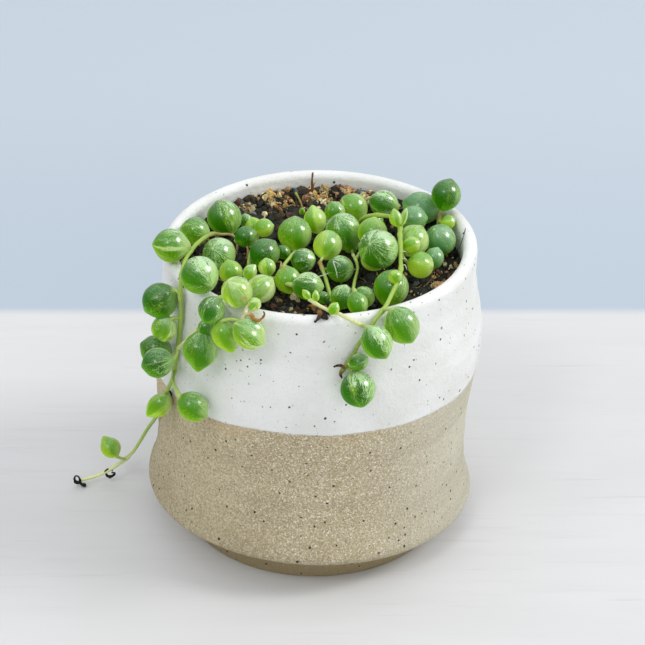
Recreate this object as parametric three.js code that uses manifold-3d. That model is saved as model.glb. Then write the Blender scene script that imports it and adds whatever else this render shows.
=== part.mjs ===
// A variegated string of pearls in a small hand-thrown stoneware pot.
// Millimetres, +Z up, origin at the centre of the pot's foot, on the surface it stands on.
// The pot is seen from -Y; +X is to the right.
import * as THREE from "three";
import { mergeVertices } from "three/addons/utils/BufferGeometryUtils.js";
import Module from "manifold-3d";

const wasm = await Module();
wasm.setup();

// ---------------------------------------------------------------- driving dimensions

const FOOT_RADIUS = 35.5; // recessed foot disc that the pot stands on
const FOOT_HEIGHT = 5.2;
const FOOT_TILT = 3.5; // how far the foot's upper edge sinks on the low side
const LIP_RADIUS = 38; // middle of the round lip
const LIP_HALF_THICKNESS = 1.8;
const LIP_HEIGHT = 79.2; // middle of the lip, so the pot is 81 mm high
const LEAN_LOW = -1; // the thrown wall leans a little to +X as it rises
const LEAN_HIGH = 1.5;
const LEAN_LOW_FROM = 12.4; // height at which the lower lean is complete
const TILT_TOWARDS = 0.93; // angle of the side towards which the belly sinks
const TILT_SHIFT = 0.3; // how far a sinking point also moves away from that side
const OUT_OF_ROUND = 0.2; // the hand-thrown wall is slightly oval
const POT_SEGMENTS = 48;

const SOIL_TOP = 74; // mean level of the soil
const SOIL_FLOOR = 7.4;
const BANK_HEIGHT = 2.2; // how far the soil is heaped up against the back wall
const SOIL_SEGMENTS = 32;
const GAP = 0.3; // between pieces that touch

const STEM_SIDES = 5;
const STEM_STEP = 3.2; // length of one straight facet of a stem
const STALK_RADIUS = 0.45; // leaf stalk
const ROOT_Z = 68; // depth that every stem reaches in its hole
const HOLE_CLEARANCE = 0.4;

// The wall's outer face as [radius, height, tilt], from above the foot's overhang to the lip. The belly was
// thrown a little askew on its foot: tilt is how far a point sinks on the low side and rises on the high one.
const WALL_OUTSIDE = [
  [37.2, 5.4, 3.9],
  [39.7, 6, 3.8],
  [42.2, 7.1, 3.6],
  [43.35, 8.9, 3.2],
  [42.85, 11.9, 3.3],
  [41.7, 15.6, 2.4],
  [41.0, 20.4, 0.9],
  [40.8, 27, -0.7],
  [41.05, 35],
  [41.8, 44],
  [42.35, 54],
  [41.9, 60],
  [40.7, 66.5],
  [39.9, 72.5],
  [39.8, LIP_HEIGHT],
];

// The wall's inner face as [radius, height], from the lip down to the floor.
const WALL_INSIDE = [
  [36.2, LIP_HEIGHT],
  [36.2, 70],
  [37.4, 58],
  [37.2, 38],
  [36.6, 26],
  [37.6, 17],
  [35.2, 11],
  [30, 8],
];

// ---------------------------------------------------------------- the leafy stems
// Each leaf is [x, y, z of its middle], width, length, [direction from its base to its tip].
// A stem is the route of its middle line, from its root in the soil; branches start on it.

const STRANDS = {
  strand_left_long: {
    radius: 0.65,
    colour: 0x6f9a35,
    stem: [
      [-19.7, 2.5, ROOT_Z],
      [-19.7, 2.5, 75],
      [-21.5, 6, 77.6],
      [-24, 5.5, 79.3],
      [-26, 2.8, 81],
      [-29.6, -7.5, 83.5],
      [-31.7, -15, 83.6],
      [-32.4, -20.6, 82.3],
      [-32.7, -23, 79.2],
      [-32.8, -22.7, 73.5],
      [-33.5, -23, 66.5],
      [-34.2, -23.8, 62],
      [-35.2, -24, 55.5],
      [-37.2, -21.6, 49],
      [-40.3, -14, 37.5],
      [-44.5, -3, 25],
      [-52, 6, 8.5],
      [-59.5, 6.5, 2.8],
      [-65.5, 5.5, 1.3],
    ],
    branches: [
      [
        [-34.2, -23.8, 62],
        [-32, -28, 64.5],
        [-29, -30.5, 70],
        [-27, -31.5, 73],
      ],
    ],
    leaves: [
      [[-35.5, -11.5, 85.6], 8.4, 9.2, [-1, 0, 0.05]],
      [[-30.5, 4.5, 80.8], 7.2, 8, [-0.9, 0.3, 0.1]],
      [[-23.5, 14.5, 79.3], 9.1, 9.8, [-0.4, 0.6, 0.7]],
      [[-27.5, -27, 86], 9.2, 9.8, [0.6, -0.8, -0.1]],
      [[-38, -21, 75.3], 8.8, 9.6, [-0.8, -0.1, -0.6]],
      [[-37, -23.5, 68.8], 6, 7, [-0.5, 0.1, -0.85]],
      [[-39.5, -22, 61.5], 7.8, 8.3, [-0.9, 0.2, 0.3]],
      [[-38.5, -29.6, 62.6], 7.6, 8.2, [-0.95, -0.1, -0.2]],
      [[-27.5, -34.5, 69.2], 8.5, 9.8, [-0.2, -0.1, -0.97]],
      [[-39.3, -22.5, 45.3], 5.6, 8.6, [-0.7, 0, -0.7]],
      [[-29.8, -35.3, 53.4], 7.2, 8.8, [0.75, -0.1, -0.6]],
      [[-56, 5.5, 12.5], 5.8, 7, [-0.65, 0.2, 0.72]],
      [[-26, -32.5, 74.5], 4.2, 4.8, [0.2, 0, 1]],
    ],
  },
  strand_left_back: {
    radius: 0.5,
    colour: 0x4f7f2c,
    stem: [
      [-16.5, -4.5, ROOT_Z],
      [-16.5, -4.5, 75],
      [-16.6, -1, 76.2],
      [-15.8, 4, 76.3],
      [-14.8, 8, 76.3],
      [-15, 11, 76.2],
    ],
    branches: [],
    leaves: [
      [[-12.5, -3, 78.5], 7.6, 8.2, [0.6, 0.2, 0.7]],
      [[-17.6, 5.4, 78.7], 5.4, 6.2, [0.9, 0.2, 0.3]],
      [[-13, 9.5, 79], 4.9, 5.8, [0.95, 0, 0.3]],
      [[-15.8, 13.8, 77], 4.7, 5.3, [-0.2, 0.3, 0.9]],
      [[-18, 18, 76.5], 3.5, 4, [-0.3, 0.5, 0.8]],
    ],
  },
  strand_left_front: {
    radius: 0.6,
    colour: 0x9dbf6a,
    stem: [
      [-16.5, -10.5, ROOT_Z],
      [-16.5, -10.5, 75],
      [-17, -14.5, 77.5],
      [-17.2, -20, 79.8],
      [-17, -26, 81.5],
      [-15.6, -32.5, 82.5],
      [-15.8, -36.5, 82.7],
      [-16.8, -39.8, 80.8],
    ],
    branches: [],
    leaves: [
      [[-24, -4.5, 79], 8.6, 9.2, [-0.3, -0.6, 0.7]],
      [[-20.8, -11.7, 78], 6, 6.6, [-0.3, 0.3, 0.9]],
      [[-15.9, -15, 80], 3.4, 4.4, [0.6, 0.2, 0.75]],
      [[-13, -20.3, 78.3], 7.1, 7.7, [0.7, 0.2, 0.6]],
      [[-18.3, -33.8, 85.3], 7.6, 8.2, [-0.5, -0.2, 0.85]],
      [[-14.1, -36.3, 83.4], 3.2, 3.8, [0.5, -0.4, 0.7]],
      [[-24.4, -35, 81], 6.5, 7.1, [-0.5, -0.4, -0.7]],
      [[-21.2, -37.5, 75.6], 6.4, 8.6, [0.35, -0.2, -0.9]],
      [[-15.3, -41, 78], 7.3, 8.6, [0.8, -0.2, -0.55]],
    ],
  },
  strand_centre_left: {
    radius: 0.5,
    colour: 0x8a7a3c,
    stem: [
      [-9.5, -11, ROOT_Z],
      [-9.5, -11, 75],
      [-8, -8.5, 77.5],
      [-6, -5.5, 78.9],
      [-5.3, -1.5, 77.5],
    ],
    branches: [],
    leaves: [
      [[-11.8, -9.5, 78.4], 4.2, 5.4, [-0.15, 0.5, 0.85]],
      [[-5, 6, 79.2], 8.7, 9.3, [0, 0.7, 0.7]],
      [[-7.8, 0.3, 77], 3.6, 4.1, [-0.5, 0.2, 0.8]],
      [[-2.7, -5.2, 77.8], 6.1, 6.7, [0.8, -0.3, 0.3]],
      [[-6.5, -15.5, 78], 6.5, 7.3, [0.2, -0.6, -0.7]],
      [[-1.5, -20.5, 79.2], 6.8, 8, [1, -0.1, 0]],
    ],
  },
  strand_centre: {
    radius: 0.55,
    colour: 0x7fa03c,
    stem: [
      [4.3, -21.5, ROOT_Z],
      [4.3, -21.5, 75],
      [3.6, -18, 76.6],
      [2.6, -12, 77.4],
      [1.4, -6.8, 78],
    ],
    branches: [],
    leaves: [
      [[3.4, -1, 79.8], 7.2, 9, [0.3, 0.85, 0.4]],
      [[6.5, -10.5, 78.3], 6.8, 7.5, [0.8, -0.4, 0.3]],
      [[2.4, -24.1, 78], 3, 3.6, [-0.4, -0.5, 0.7]],
    ],
  },
  strand_back: {
    radius: 0.5,
    colour: 0x7fa03c,
    stem: [
      [2.5, 8, ROOT_Z],
      [2.5, 8, 75],
      [2.6, 11, 76.2],
      [5, 13.5, 76.3],
      [9, 15.8, 76.2],
      [13, 18, 76.2],
      [15.5, 20, 76.3],
    ],
    branches: [],
    leaves: [
      [[0.2, 13, 80], 6, 8.4, [-0.2, 0.5, 0.85]],
      [[5.4, 17.3, 79.5], 5.5, 6.1, [-0.4, 0.3, 0.85]],
      [[10.3, 21.7, 78.5], 7.4, 8, [-0.7, 0.4, 0.5]],
      [[18.4, 24, 78.4], 7.2, 8.4, [-0.9, 0.3, 0.2]],
      [[15.7, 14.5, 78], 4.4, 5.2, [0.8, 0, 0.5]],
    ],
  },
  strand_front_centre: {
    radius: 0.45,
    colour: 0x4f6f2c,
    stem: [
      [9.5, -19.5, ROOT_Z],
      [9.5, -19.5, 75],
      [9.9, -16, 76.8],
      [10.9, -9, 77.4],
      [10.6, -4, 77],
      [9.9, -0.5, 76.6],
    ],
    branches: [],
    leaves: [
      [[7.6, 6.8, 79.3], 8.8, 12, [-0.25, 0.65, 0.7]],
      [[6.9, -25.5, 79], 5.9, 6.4, [0.3, 0.2, 0.9]],
      [[10.6, -31, 80.4], 5, 6.8, [0.2, -0.6, -0.75]],
      [[12.2, -23.6, 77.8], 5.4, 6, [0.5, -0.4, 0.6]],
      [[14.9, -4.2, 77.6], 6.2, 6.8, [0.5, -0.5, -0.5]],
    ],
  },
  strand_front_right: {
    radius: 0.6,
    colour: 0x93b84a,
    stem: [
      [11.3, 12.5, ROOT_Z],
      [11.3, 12.5, 75],
      [11.8, 11.2, 79.8],
      [13.6, 9, 82.6],
      [17.3, 6, 84.5],
      [20, 3.5, 85.3],
      [21.6, 0, 85.1],
      [21.6, -4, 84.3],
      [21.6, -9, 83.3],
      [21.5, -14, 82.6],
      [21.3, -19.5, 82.9],
      [20.6, -24, 83],
      [19, -30, 83],
      [17, -36, 82.3],
      [15, -38.7, 81.1],
      [13.3, -40.1, 79],
      [11, -40.7, 75.4],
      [8.7, -41.1, 71],
      [6.5, -41.7, 67.5],
    ],
    branches: [
      [
        [13.3, -40.1, 79],
        [9.5, -40.3, 81],
        [6.3, -38.8, 82.1],
        [3.6, -37.5, 82.4],
        [1.2, -35.8, 82.8],
        [-1.1, -33.6, 83.2],
      ],
    ],
    leaves: [
      [[16, -10.6, 84], 9.9, 10.5, [-0.3, -0.8, 0.5]],
      [[14.9, 2.2, 81.6], 7.7, 8.3, [0.1, 0.2, 0.97]],
      [[19, -21.1, 79], 8.6, 9.2, [-0.4, -0.6, -0.6]],
      [[19.8, -24.8, 84.2], 3.4, 4, [-0.6, -0.3, 0.7]],
      [[25.2, -0.6, 80.9], 8, 8.7, [0.5, 0.5, 0.7]],
      [[24.5, -6.8, 83.1], 4.2, 4.9, [0.8, -0.2, 0.5]],
      [[26.6, -11, 79.7], 6.6, 7.3, [0.8, -0.5, 0.2]],
      [[21, -40, 79.8], 8.3, 10, [0.5, -0.2, -0.85]],
      [[14.9, -45.2, 78.3], 7.4, 9, [0.5, -0.3, -0.8]],
      [[10.8, -42, 70.8], 4, 5.2, [0.8, -0.1, 0.6]],
      [[10.6, -45, 65], 8.6, 9.2, [-0.2, -0.6, -0.75]],
      [[4.8, -38.2, 83.3], 2.7, 3.4, [0.5, 0.2, 0.85]],
      [[-1.7, -33.4, 84.3], 1.9, 2.8, [-0.6, 0.2, 0.75]],
      [[0.5, -34.2, 84.4], 1.7, 2.8, [0, 0.3, 0.95]],
      [[20.8, -0.8, 87.6], 3, 5.4, [-0.25, 0.3, 0.9]],
      [[22.7, -0.6, 87.6], 1.6, 4.6, [0.25, 0.3, 0.9]],
    ],
  },
  strand_right: {
    radius: 0.5,
    colour: 0x5d8a45,
    stem: [
      [31.5, 10.5, ROOT_Z],
      [31.5, 10.5, 75.5],
      [32.2, 11.7, 79],
      [32.8, 12.6, 81.8],
    ],
    branches: [
      [
        [31.5, 10.5, 75.5],
        [28.6, 6, 75.9],
        [28, 1, 75.9],
        [28.8, -2.5, 76.3],
      ],
    ],
    leaves: [
      [[34.1, 14, 86.3], 7.8, 8.8, [0.3, 0.4, 0.87]],
      [[27.8, 17, 80.8], 8.6, 10.2, [-0.9, 0.3, 0.2]],
      [[25.5, 8.9, 82], 6.8, 7.6, [0.95, -0.1, 0.1]],
      [[34.5, 9, 81], 3.7, 4.2, [0.6, -0.4, 0.3]],
      [[32.3, 3.5, 78.8], 8.1, 8.7, [-0.4, -0.3, 0.85]],
      [[30.3, -5.2, 78.4], 5, 5.8, [0.35, 0.4, 0.85]],
    ],
  },
  twig_dry: {
    radius: 0.45,
    colour: 0x5a3f2a,
    stem: [
      [-0.6, 33.4, ROOT_Z],
      [-0.6, 33.4, 78],
      [-0.7, 33.5, 80.2],
      [-0.6, 33.6, 82.3],
    ],
    branches: [],
    leaves: [],
  },
  stalk_dry: {
    radius: 0.45,
    colour: 0x9a8a52,
    stem: [
      [-3, 26, ROOT_Z],
      [-3, 26, 75],
      [-4, 26.6, 77.8],
      [-5.2, 27, 80],
    ],
    branches: [],
    leaves: [[[-3.2, 24.2, 75.9], 1.7, 2.4, [0, -0.4, 0.9]]],
  },
};

// ---------------------------------------------------------------- helpers

const smooth = (a, b, t) => THREE.MathUtils.smoothstep(t, a, b);

// How far the pot's section is moved to +X at height z.
function lean(z) {
  const low = LEAN_LOW * Math.min(z / LEAN_LOW_FROM, 1);
  return low + (LEAN_HIGH - LEAN_LOW) * smooth(20, 68, z);
}

// A solid for joining and cutting, from a closed geometry.
function solid(geometry) {
  const plain = geometry.index ? geometry.toNonIndexed() : geometry.clone();
  plain.deleteAttribute("normal");
  plain.deleteAttribute("uv");
  const merged = mergeVertices(plain, 1e-4);
  return new wasm.Manifold(
    new wasm.Mesh({
      numProp: 3,
      vertProperties: merged.attributes.position.array,
      triVerts: new Uint32Array(merged.index.array),
    }),
  );
}

// The geometry of a solid.
function geometryOf(made) {
  const mesh = made.getMesh();
  const geometry = new THREE.BufferGeometry();
  geometry.setAttribute("position", new THREE.BufferAttribute(mesh.vertProperties, 3));
  geometry.setIndex(new THREE.BufferAttribute(mesh.triVerts, 1));
  geometry.computeVertexNormals();
  return geometry;
}

// One named piece with its own material.
function piece(name, geometry, colour, roughness) {
  const material = new THREE.MeshStandardMaterial({ color: colour, roughness, metalness: 0 });
  const mesh = new THREE.Mesh(geometry, material);
  mesh.name = name;
  return mesh;
}

// A turned form about Z, then leaned, tilted and made slightly oval as the hand-thrown pot is.
function thrown(profile, segments) {
  const points = profile.map(([r, z]) => new THREE.Vector2(r, z));
  const geometry = new THREE.LatheGeometry(points, segments);
  geometry.rotateX(Math.PI / 2);
  const position = geometry.attributes.position;
  for (let i = 0; i < position.count; i++) {
    const [x, y, z] = [position.getX(i), position.getY(i), position.getZ(i)];
    const radius = Math.hypot(x, y);
    const angle = Math.atan2(y, x);
    const grown = radius > 1 ? 1 + (OUT_OF_ROUND / radius) * Math.cos(2 * angle) : 1;
    const tilt = profile[i % profile.length][2] ?? 0;
    const shift = tilt * TILT_SHIFT;
    position.setXYZ(
      i,
      x * grown + lean(z) - shift * Math.cos(TILT_TOWARDS),
      y * grown - shift * Math.sin(TILT_TOWARDS),
      z - tilt * Math.cos(angle - TILT_TOWARDS),
    );
  }
  return geometry;
}

// ---------------------------------------------------------------- pot

// The lip's half circle, from its outer face over the top to its inner face, without its ends.
function lipArc(steps) {
  const arc = [];
  for (let i = 1; i < steps; i++) {
    const angle = (Math.PI * i) / steps;
    arc.push([
      LIP_RADIUS + LIP_HALF_THICKNESS * Math.cos(angle),
      LIP_HEIGHT + LIP_HALF_THICKNESS * Math.sin(angle),
    ]);
  }
  return arc;
}

function makePot() {
  const profile = [
    [0, 0],
    [FOOT_RADIUS - 0.8, 0],
    [FOOT_RADIUS, 0.8],
    [FOOT_RADIUS, FOOT_HEIGHT, FOOT_TILT],
    ...WALL_OUTSIDE,
    ...lipArc(6),
    ...WALL_INSIDE,
    [0, 6.4],
  ];
  return piece("pot", thrown(profile, POT_SEGMENTS), 0xe4e6e2, 0.55);
}

// ---------------------------------------------------------------- soil

// The soil's level: gently lumpy, and a little higher against the back wall.
function soilLevel(x, y) {
  const lumps = 0.14 * Math.sin(x / 3.1 + 1) * Math.cos(y / 3.7) + 0.08 * Math.sin((x + y) / 2);
  return SOIL_TOP + lumps + BANK_HEIGHT * smooth(30, 35, Math.hypot(x, y)) * smooth(5, 25, y);
}

function makeSoilBody() {
  const sideTop = WALL_INSIDE.map(([r, z]) => [r - GAP, z]).filter(([, z]) => z < SOIL_TOP);
  const side = sideTop.reverse();
  const rings = [35.9, 33.5, 31, 26, 18, 10].map((r) => [r, SOIL_TOP]);
  const geometry = thrown([[0, SOIL_FLOOR], ...side, ...rings, [0, SOIL_TOP]], SOIL_SEGMENTS);
  const position = geometry.attributes.position;
  for (let i = 0; i < position.count; i++) {
    if (position.getZ(i) < SOIL_TOP) continue;
    position.setZ(i, soilLevel(position.getX(i), position.getY(i)));
  }
  return solid(geometry);
}

// A vertical hole for every stem's root.
function rootHole([x, y], radius) {
  const geometry = new THREE.CylinderGeometry(radius, radius, 20, 8);
  geometry.rotateX(Math.PI / 2);
  geometry.translate(x, y, ROOT_Z - 0.6 + 10);
  return solid(geometry);
}

// Whether a bark or coir bit of this size would touch a leaf or a stem.
function isClear(centre, size) {
  for (const strand of Object.values(STRANDS)) {
    for (const [at, width] of strand.leaves) {
      if (centre.distanceTo(new THREE.Vector3(...at)) < width / 2 + size + 0.6) return false;
    }
    for (const route of [strand.stem, ...strand.branches]) {
      const line = new THREE.CatmullRomCurve3(route.map((p) => new THREE.Vector3(...p)));
      for (const p of line.getPoints(40)) {
        if (centre.distanceTo(p) < strand.radius + size + 0.8) return false;
      }
    }
  }
  return true;
}

// Bark and coir bits: a ring of them along the wall, thickest at the back and on the right.
function soilBits() {
  const bits = [];
  const turn = Math.PI * (3 - Math.sqrt(5));
  for (let i = 0; i < 64; i++) {
    const angle = i * turn;
    const radius = 34 - 9 * ((i * 0.37) % 1);
    const size = 1.2 + 1.3 * ((i * 0.61) % 1);
    const [x, y] = [lean(SOIL_TOP) + radius * Math.cos(angle), radius * Math.sin(angle)];
    if (y < 8 && x < 20) continue;
    const centre = new THREE.Vector3(x, y, soilLevel(x, y) + 0.15);
    if (!isClear(centre, size)) continue;
    const bit = new THREE.IcosahedronGeometry(size, 0);
    bit.scale(1, 0.6 + 0.3 * Math.sin(i), 0.55);
    bit.rotateZ(i * 1.3);
    bit.translate(...centre.toArray());
    bits.push(solid(bit));
  }
  return bits;
}

function makeSoil() {
  let body = makeSoilBody();
  for (const bit of soilBits()) body = body.add(bit);
  for (const strand of Object.values(STRANDS)) {
    body = body.subtract(rootHole(strand.stem[0], strand.radius + HOLE_CLEARANCE));
  }
  return piece("soil", geometryOf(body), 0x2b2622, 0.95);
}

// ---------------------------------------------------------------- leafy stems

// A round section swept along a smooth route.
function sweep(route, radius, sides, steps) {
  const section = new THREE.Shape();
  for (let i = 0; i < sides; i++) {
    const angle = (2 * Math.PI * i) / sides;
    const [x, y] = [radius * Math.cos(angle), radius * Math.sin(angle)];
    if (i === 0) section.moveTo(x, y);
    else section.lineTo(x, y);
  }
  const path = new THREE.CatmullRomCurve3(route, false, "centripetal");
  return new THREE.ExtrudeGeometry(section, { steps, bevelEnabled: false, extrudePath: path });
}

// A pearl: round across, drawn out to a point at the tip and to a short neck at the base.
// The outline turns from base (t = 0) to tip (t = PI); the ends move out as (1 +- cos t)^6.
function pearl(at, width, length, tip) {
  const sides = width > 6 ? 8 : width > 3.5 ? 7 : 5;
  const rings = width > 6 ? 6 : width > 3.5 ? 5 : 4;
  const body = Math.min(width, length * 0.94);
  const points = [];
  for (let i = 0; i <= rings; i++) {
    const t = (Math.PI * i) / rings;
    const point = (length - body) * Math.pow((1 - Math.cos(t)) / 2, 6);
    const across = i === 0 || i === rings ? 0 : (width / 2) * Math.sin(t);
    points.push(new THREE.Vector2(across, (-body / 2) * Math.cos(t) + point));
  }
  const geometry = new THREE.LatheGeometry(points, sides);
  const axis = new THREE.Vector3(...tip).normalize();
  const turned = new THREE.Quaternion().setFromUnitVectors(new THREE.Vector3(0, 1, 0), axis);
  geometry.applyQuaternion(turned);
  geometry.translate(...at);
  return geometry;
}

// The point above the soil, on the strand's stems, that is nearest to a leaf's base.
function nearest(lines, base) {
  let best = lines[0].at(-1);
  for (const line of lines) {
    for (const p of line) {
      const buried = line[0].z === ROOT_Z && p.distanceTo(line[0]) < SOIL_TOP + 1.6 - ROOT_Z;
      if (!buried && p.distanceTo(base) < best.distanceTo(base)) best = p;
    }
  }
  return best;
}

// The short stalk from a stem to a leaf's base, which sinks a little into both.
function leafStalk([at, width, length, tip], lines) {
  const axis = new THREE.Vector3(...tip).normalize();
  const middle = new THREE.Vector3(...at);
  const body = Math.min(width, length * 0.94);
  const base = middle.clone().addScaledVector(axis, -body * 0.42);
  const foot = nearest(lines, base);
  const reach = base.distanceTo(foot);
  const bend = base.clone().lerp(foot, 0.4).addScaledVector(axis, -0.1 * reach);
  const radius = Math.min(STALK_RADIUS, 0.3 * width);
  return sweep([base, bend, foot], radius, 4, 2);
}

// The points of a line, with more between each two, so that a leaf stalk can start anywhere on it.
function filled(points) {
  return points.flatMap((p, i) =>
    i + 1 < points.length ? [0, 0.25, 0.5, 0.75].map((t) => p.clone().lerp(points[i + 1], t)) : [p],
  );
}

function makeStrand(name, { radius, colour, stem, branches, leaves }) {
  const lines = [];
  let body = null;
  for (const route of [stem, ...branches]) {
    const points = route.map((p) => new THREE.Vector3(...p));
    const path = new THREE.CatmullRomCurve3(points, false, "centripetal");
    const steps = Math.ceil(path.getLength() / STEM_STEP);
    const swept = solid(sweep(points, route === stem ? radius : radius * 0.85, STEM_SIDES, steps));
    lines.push(filled(path.getSpacedPoints(steps)));
    body = body ? body.add(swept) : swept;
  }
  for (const leaf of leaves) {
    body = body.add(solid(pearl(...leaf))).add(solid(leafStalk(leaf, lines)));
  }
  return piece(name, geometryOf(body), colour, 0.45);
}

// ---------------------------------------------------------------- the whole plant in its pot

const plant = new THREE.Group();
plant.add(makePot(), makeSoil());
for (const [name, strand] of Object.entries(STRANDS)) plant.add(makeStrand(name, strand));

export default plant;
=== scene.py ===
# %% [markdown]
# # A potted string of pearls
# This lesson dresses a plain, measured model of a small pot plant so that it looks like the real thing.
# The plant is a variegated string of pearls: round, pointed leaves on thin stems that creep over the soil and
# hang over the rim of a hand-thrown stoneware pot. The measured model is loaded first and never moved.
# Every finer piece is made where the model says, in metres, with +Z up and the pot standing at the origin.

import math

import bpy
import numpy as np
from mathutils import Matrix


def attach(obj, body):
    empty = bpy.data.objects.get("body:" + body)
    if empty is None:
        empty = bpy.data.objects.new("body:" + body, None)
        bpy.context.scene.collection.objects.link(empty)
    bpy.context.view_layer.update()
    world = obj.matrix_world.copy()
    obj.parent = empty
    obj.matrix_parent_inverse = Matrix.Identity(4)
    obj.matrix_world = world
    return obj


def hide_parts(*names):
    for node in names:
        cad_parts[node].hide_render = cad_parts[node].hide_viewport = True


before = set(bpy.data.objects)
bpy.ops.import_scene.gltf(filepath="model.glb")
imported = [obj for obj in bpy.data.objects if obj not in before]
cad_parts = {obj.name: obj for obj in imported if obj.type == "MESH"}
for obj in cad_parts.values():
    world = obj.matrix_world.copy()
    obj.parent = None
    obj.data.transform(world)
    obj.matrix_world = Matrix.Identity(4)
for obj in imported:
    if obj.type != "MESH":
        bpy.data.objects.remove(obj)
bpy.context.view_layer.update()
MM = 0.001

# %% [markdown]
# The camera looks down on the pot from the front, a little over 30 degrees above the table. A long lens
# keeps the pot's sides nearly parallel. The sensor is square in use, so its width and the lens give the scale.

# %% Camera
CAMERA_PLACE = (0.0021, -0.4449, 0.3279)
CAMERA_DOWN = math.radians(31.42)
SENSOR_WIDTH = 36
PIXELS = 645
PIXELS_PER_UNIT_DEPTH = 2000

camera_data = bpy.data.cameras.new("camera")
camera_data.sensor_width = SENSOR_WIDTH
camera_data.lens = SENSOR_WIDTH * PIXELS_PER_UNIT_DEPTH / PIXELS
camera = bpy.data.objects.new("camera", camera_data)
camera.location = CAMERA_PLACE
camera.rotation_euler = (math.pi / 2 - CAMERA_DOWN, 0, 0)
bpy.context.scene.collection.objects.link(camera)
bpy.context.scene.camera = camera
print("lens:", round(camera_data.lens, 1), "mm")

# %% [markdown]
# Every shape below is worked out as whole numpy arrays and put into a mesh in one go. Small helpers give the
# four-cornered faces of a grid of points, and join several grids into one piece.

# %% Helpers that turn grids of points into a piece
rng = np.random.default_rng(11)
TURN = 6.283


def around(count):
    """Angles of count even steps round a circle."""
    return np.linspace(0, 2 * math.pi, count, endpoint=False)


def grid_faces(rows, columns):
    """Faces of a grid: each joins point (r, c) to its neighbours in row r + 1 and column c + 1, which closes round."""
    r, c = np.meshgrid(np.arange(rows - 1), np.arange(columns), indexing="ij")
    ahead = (c + 1) % columns
    corners = (r * columns + c, r * columns + ahead, (r + 1) * columns + ahead, (r + 1) * columns + c)
    return np.stack(corners, -1).reshape(-1, 4)


def grid_part(points, **attributes):
    """A part for make_piece: a grid of points in millimetres, with the attributes of its points."""
    return points.reshape(-1, 3) * MM, grid_faces(*points.shape[:2]), attributes


def make_piece(name, parts, material, replaced=(), smooth=True):
    """One mesh from parts, each (points, faces, {attribute: values}); it rides on the root body."""
    starts = np.cumsum([0] + [len(points) for points, _, _ in parts])
    points = np.concatenate([p for p, _, _ in parts])
    faces = [f + start for (_, f, _), start in zip(parts, starts)]
    mesh = bpy.data.meshes.new(name)
    mesh.from_pydata(points.tolist(), [], [face for part in faces for face in part.tolist()])
    for key in parts[0][2]:
        values = np.concatenate([np.broadcast_to(a[key], (len(p), np.shape(a[key])[-1])) for p, _, a in parts])
        kind, field = ("FLOAT_COLOR", "color") if values.shape[1] == 4 else ("FLOAT_VECTOR", "vector")
        layer = mesh.attributes.new(key, kind, "POINT")
        layer.data.foreach_set(field, values.astype(np.float32).ravel())
    mesh.polygons.foreach_set("use_smooth", np.full(len(mesh.polygons), smooth))
    mesh.materials.append(material)
    piece = bpy.data.objects.new(name, mesh)
    bpy.context.scene.collection.objects.link(piece)
    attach(piece, "root")
    if replaced:
        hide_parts(*replaced)
    print(f"{name}: {len(points)} points, {sum(map(len, faces))} faces")


def smooth_line(points, steps):
    """A smooth line through points, with steps on each stretch.

    Between two points each coordinate is blended by a Catmull-Rom cubic whose knots lie as far apart as the
    square root of the distance, so that uneven points give no loops."""
    points = np.asarray(points, float)
    ends = np.concatenate([[2 * points[0] - points[1]], points, [2 * points[-1] - points[-2]]])
    p0, p1, p2, p3 = (ends[i : len(ends) - 3 + i, None, :] for i in range(4))
    gap = lambda a, b: np.sqrt(np.linalg.norm(b - a, axis=-1, keepdims=True)) + 1e-9
    t1 = gap(p0, p1)
    t2 = t1 + gap(p1, p2)
    t3 = t2 + gap(p2, p3)
    t = t1 + (t2 - t1) * np.linspace(0, 1, steps, endpoint=False)[None, :, None]
    mix = lambda p, q, low, high: ((high - t) * p + (t - low) * q) / (high - low)
    middle = mix(p1, p2, t1, t2)
    line = mix(mix(mix(p0, p1, 0, t1), middle, 0, t2), mix(middle, mix(p2, p3, t2, t3), t1, t3), t1, t2)
    return np.concatenate([line.reshape(-1, points.shape[1]), points[-1:]])


def soft_step(low, high, x):
    """0 below low, 1 above high, and 3 s^2 - 2 s^3 of the share s between them."""
    s = np.clip((x - low) / (high - low), 0, 1)
    return s * s * (3 - 2 * s)


# %% [markdown]
# Materials are written as sums. A small class wraps one output of a node tree, so that `1 - mask` or
# `grain * 0.2` adds the Math node for it, and one method adds any other node.

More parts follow.
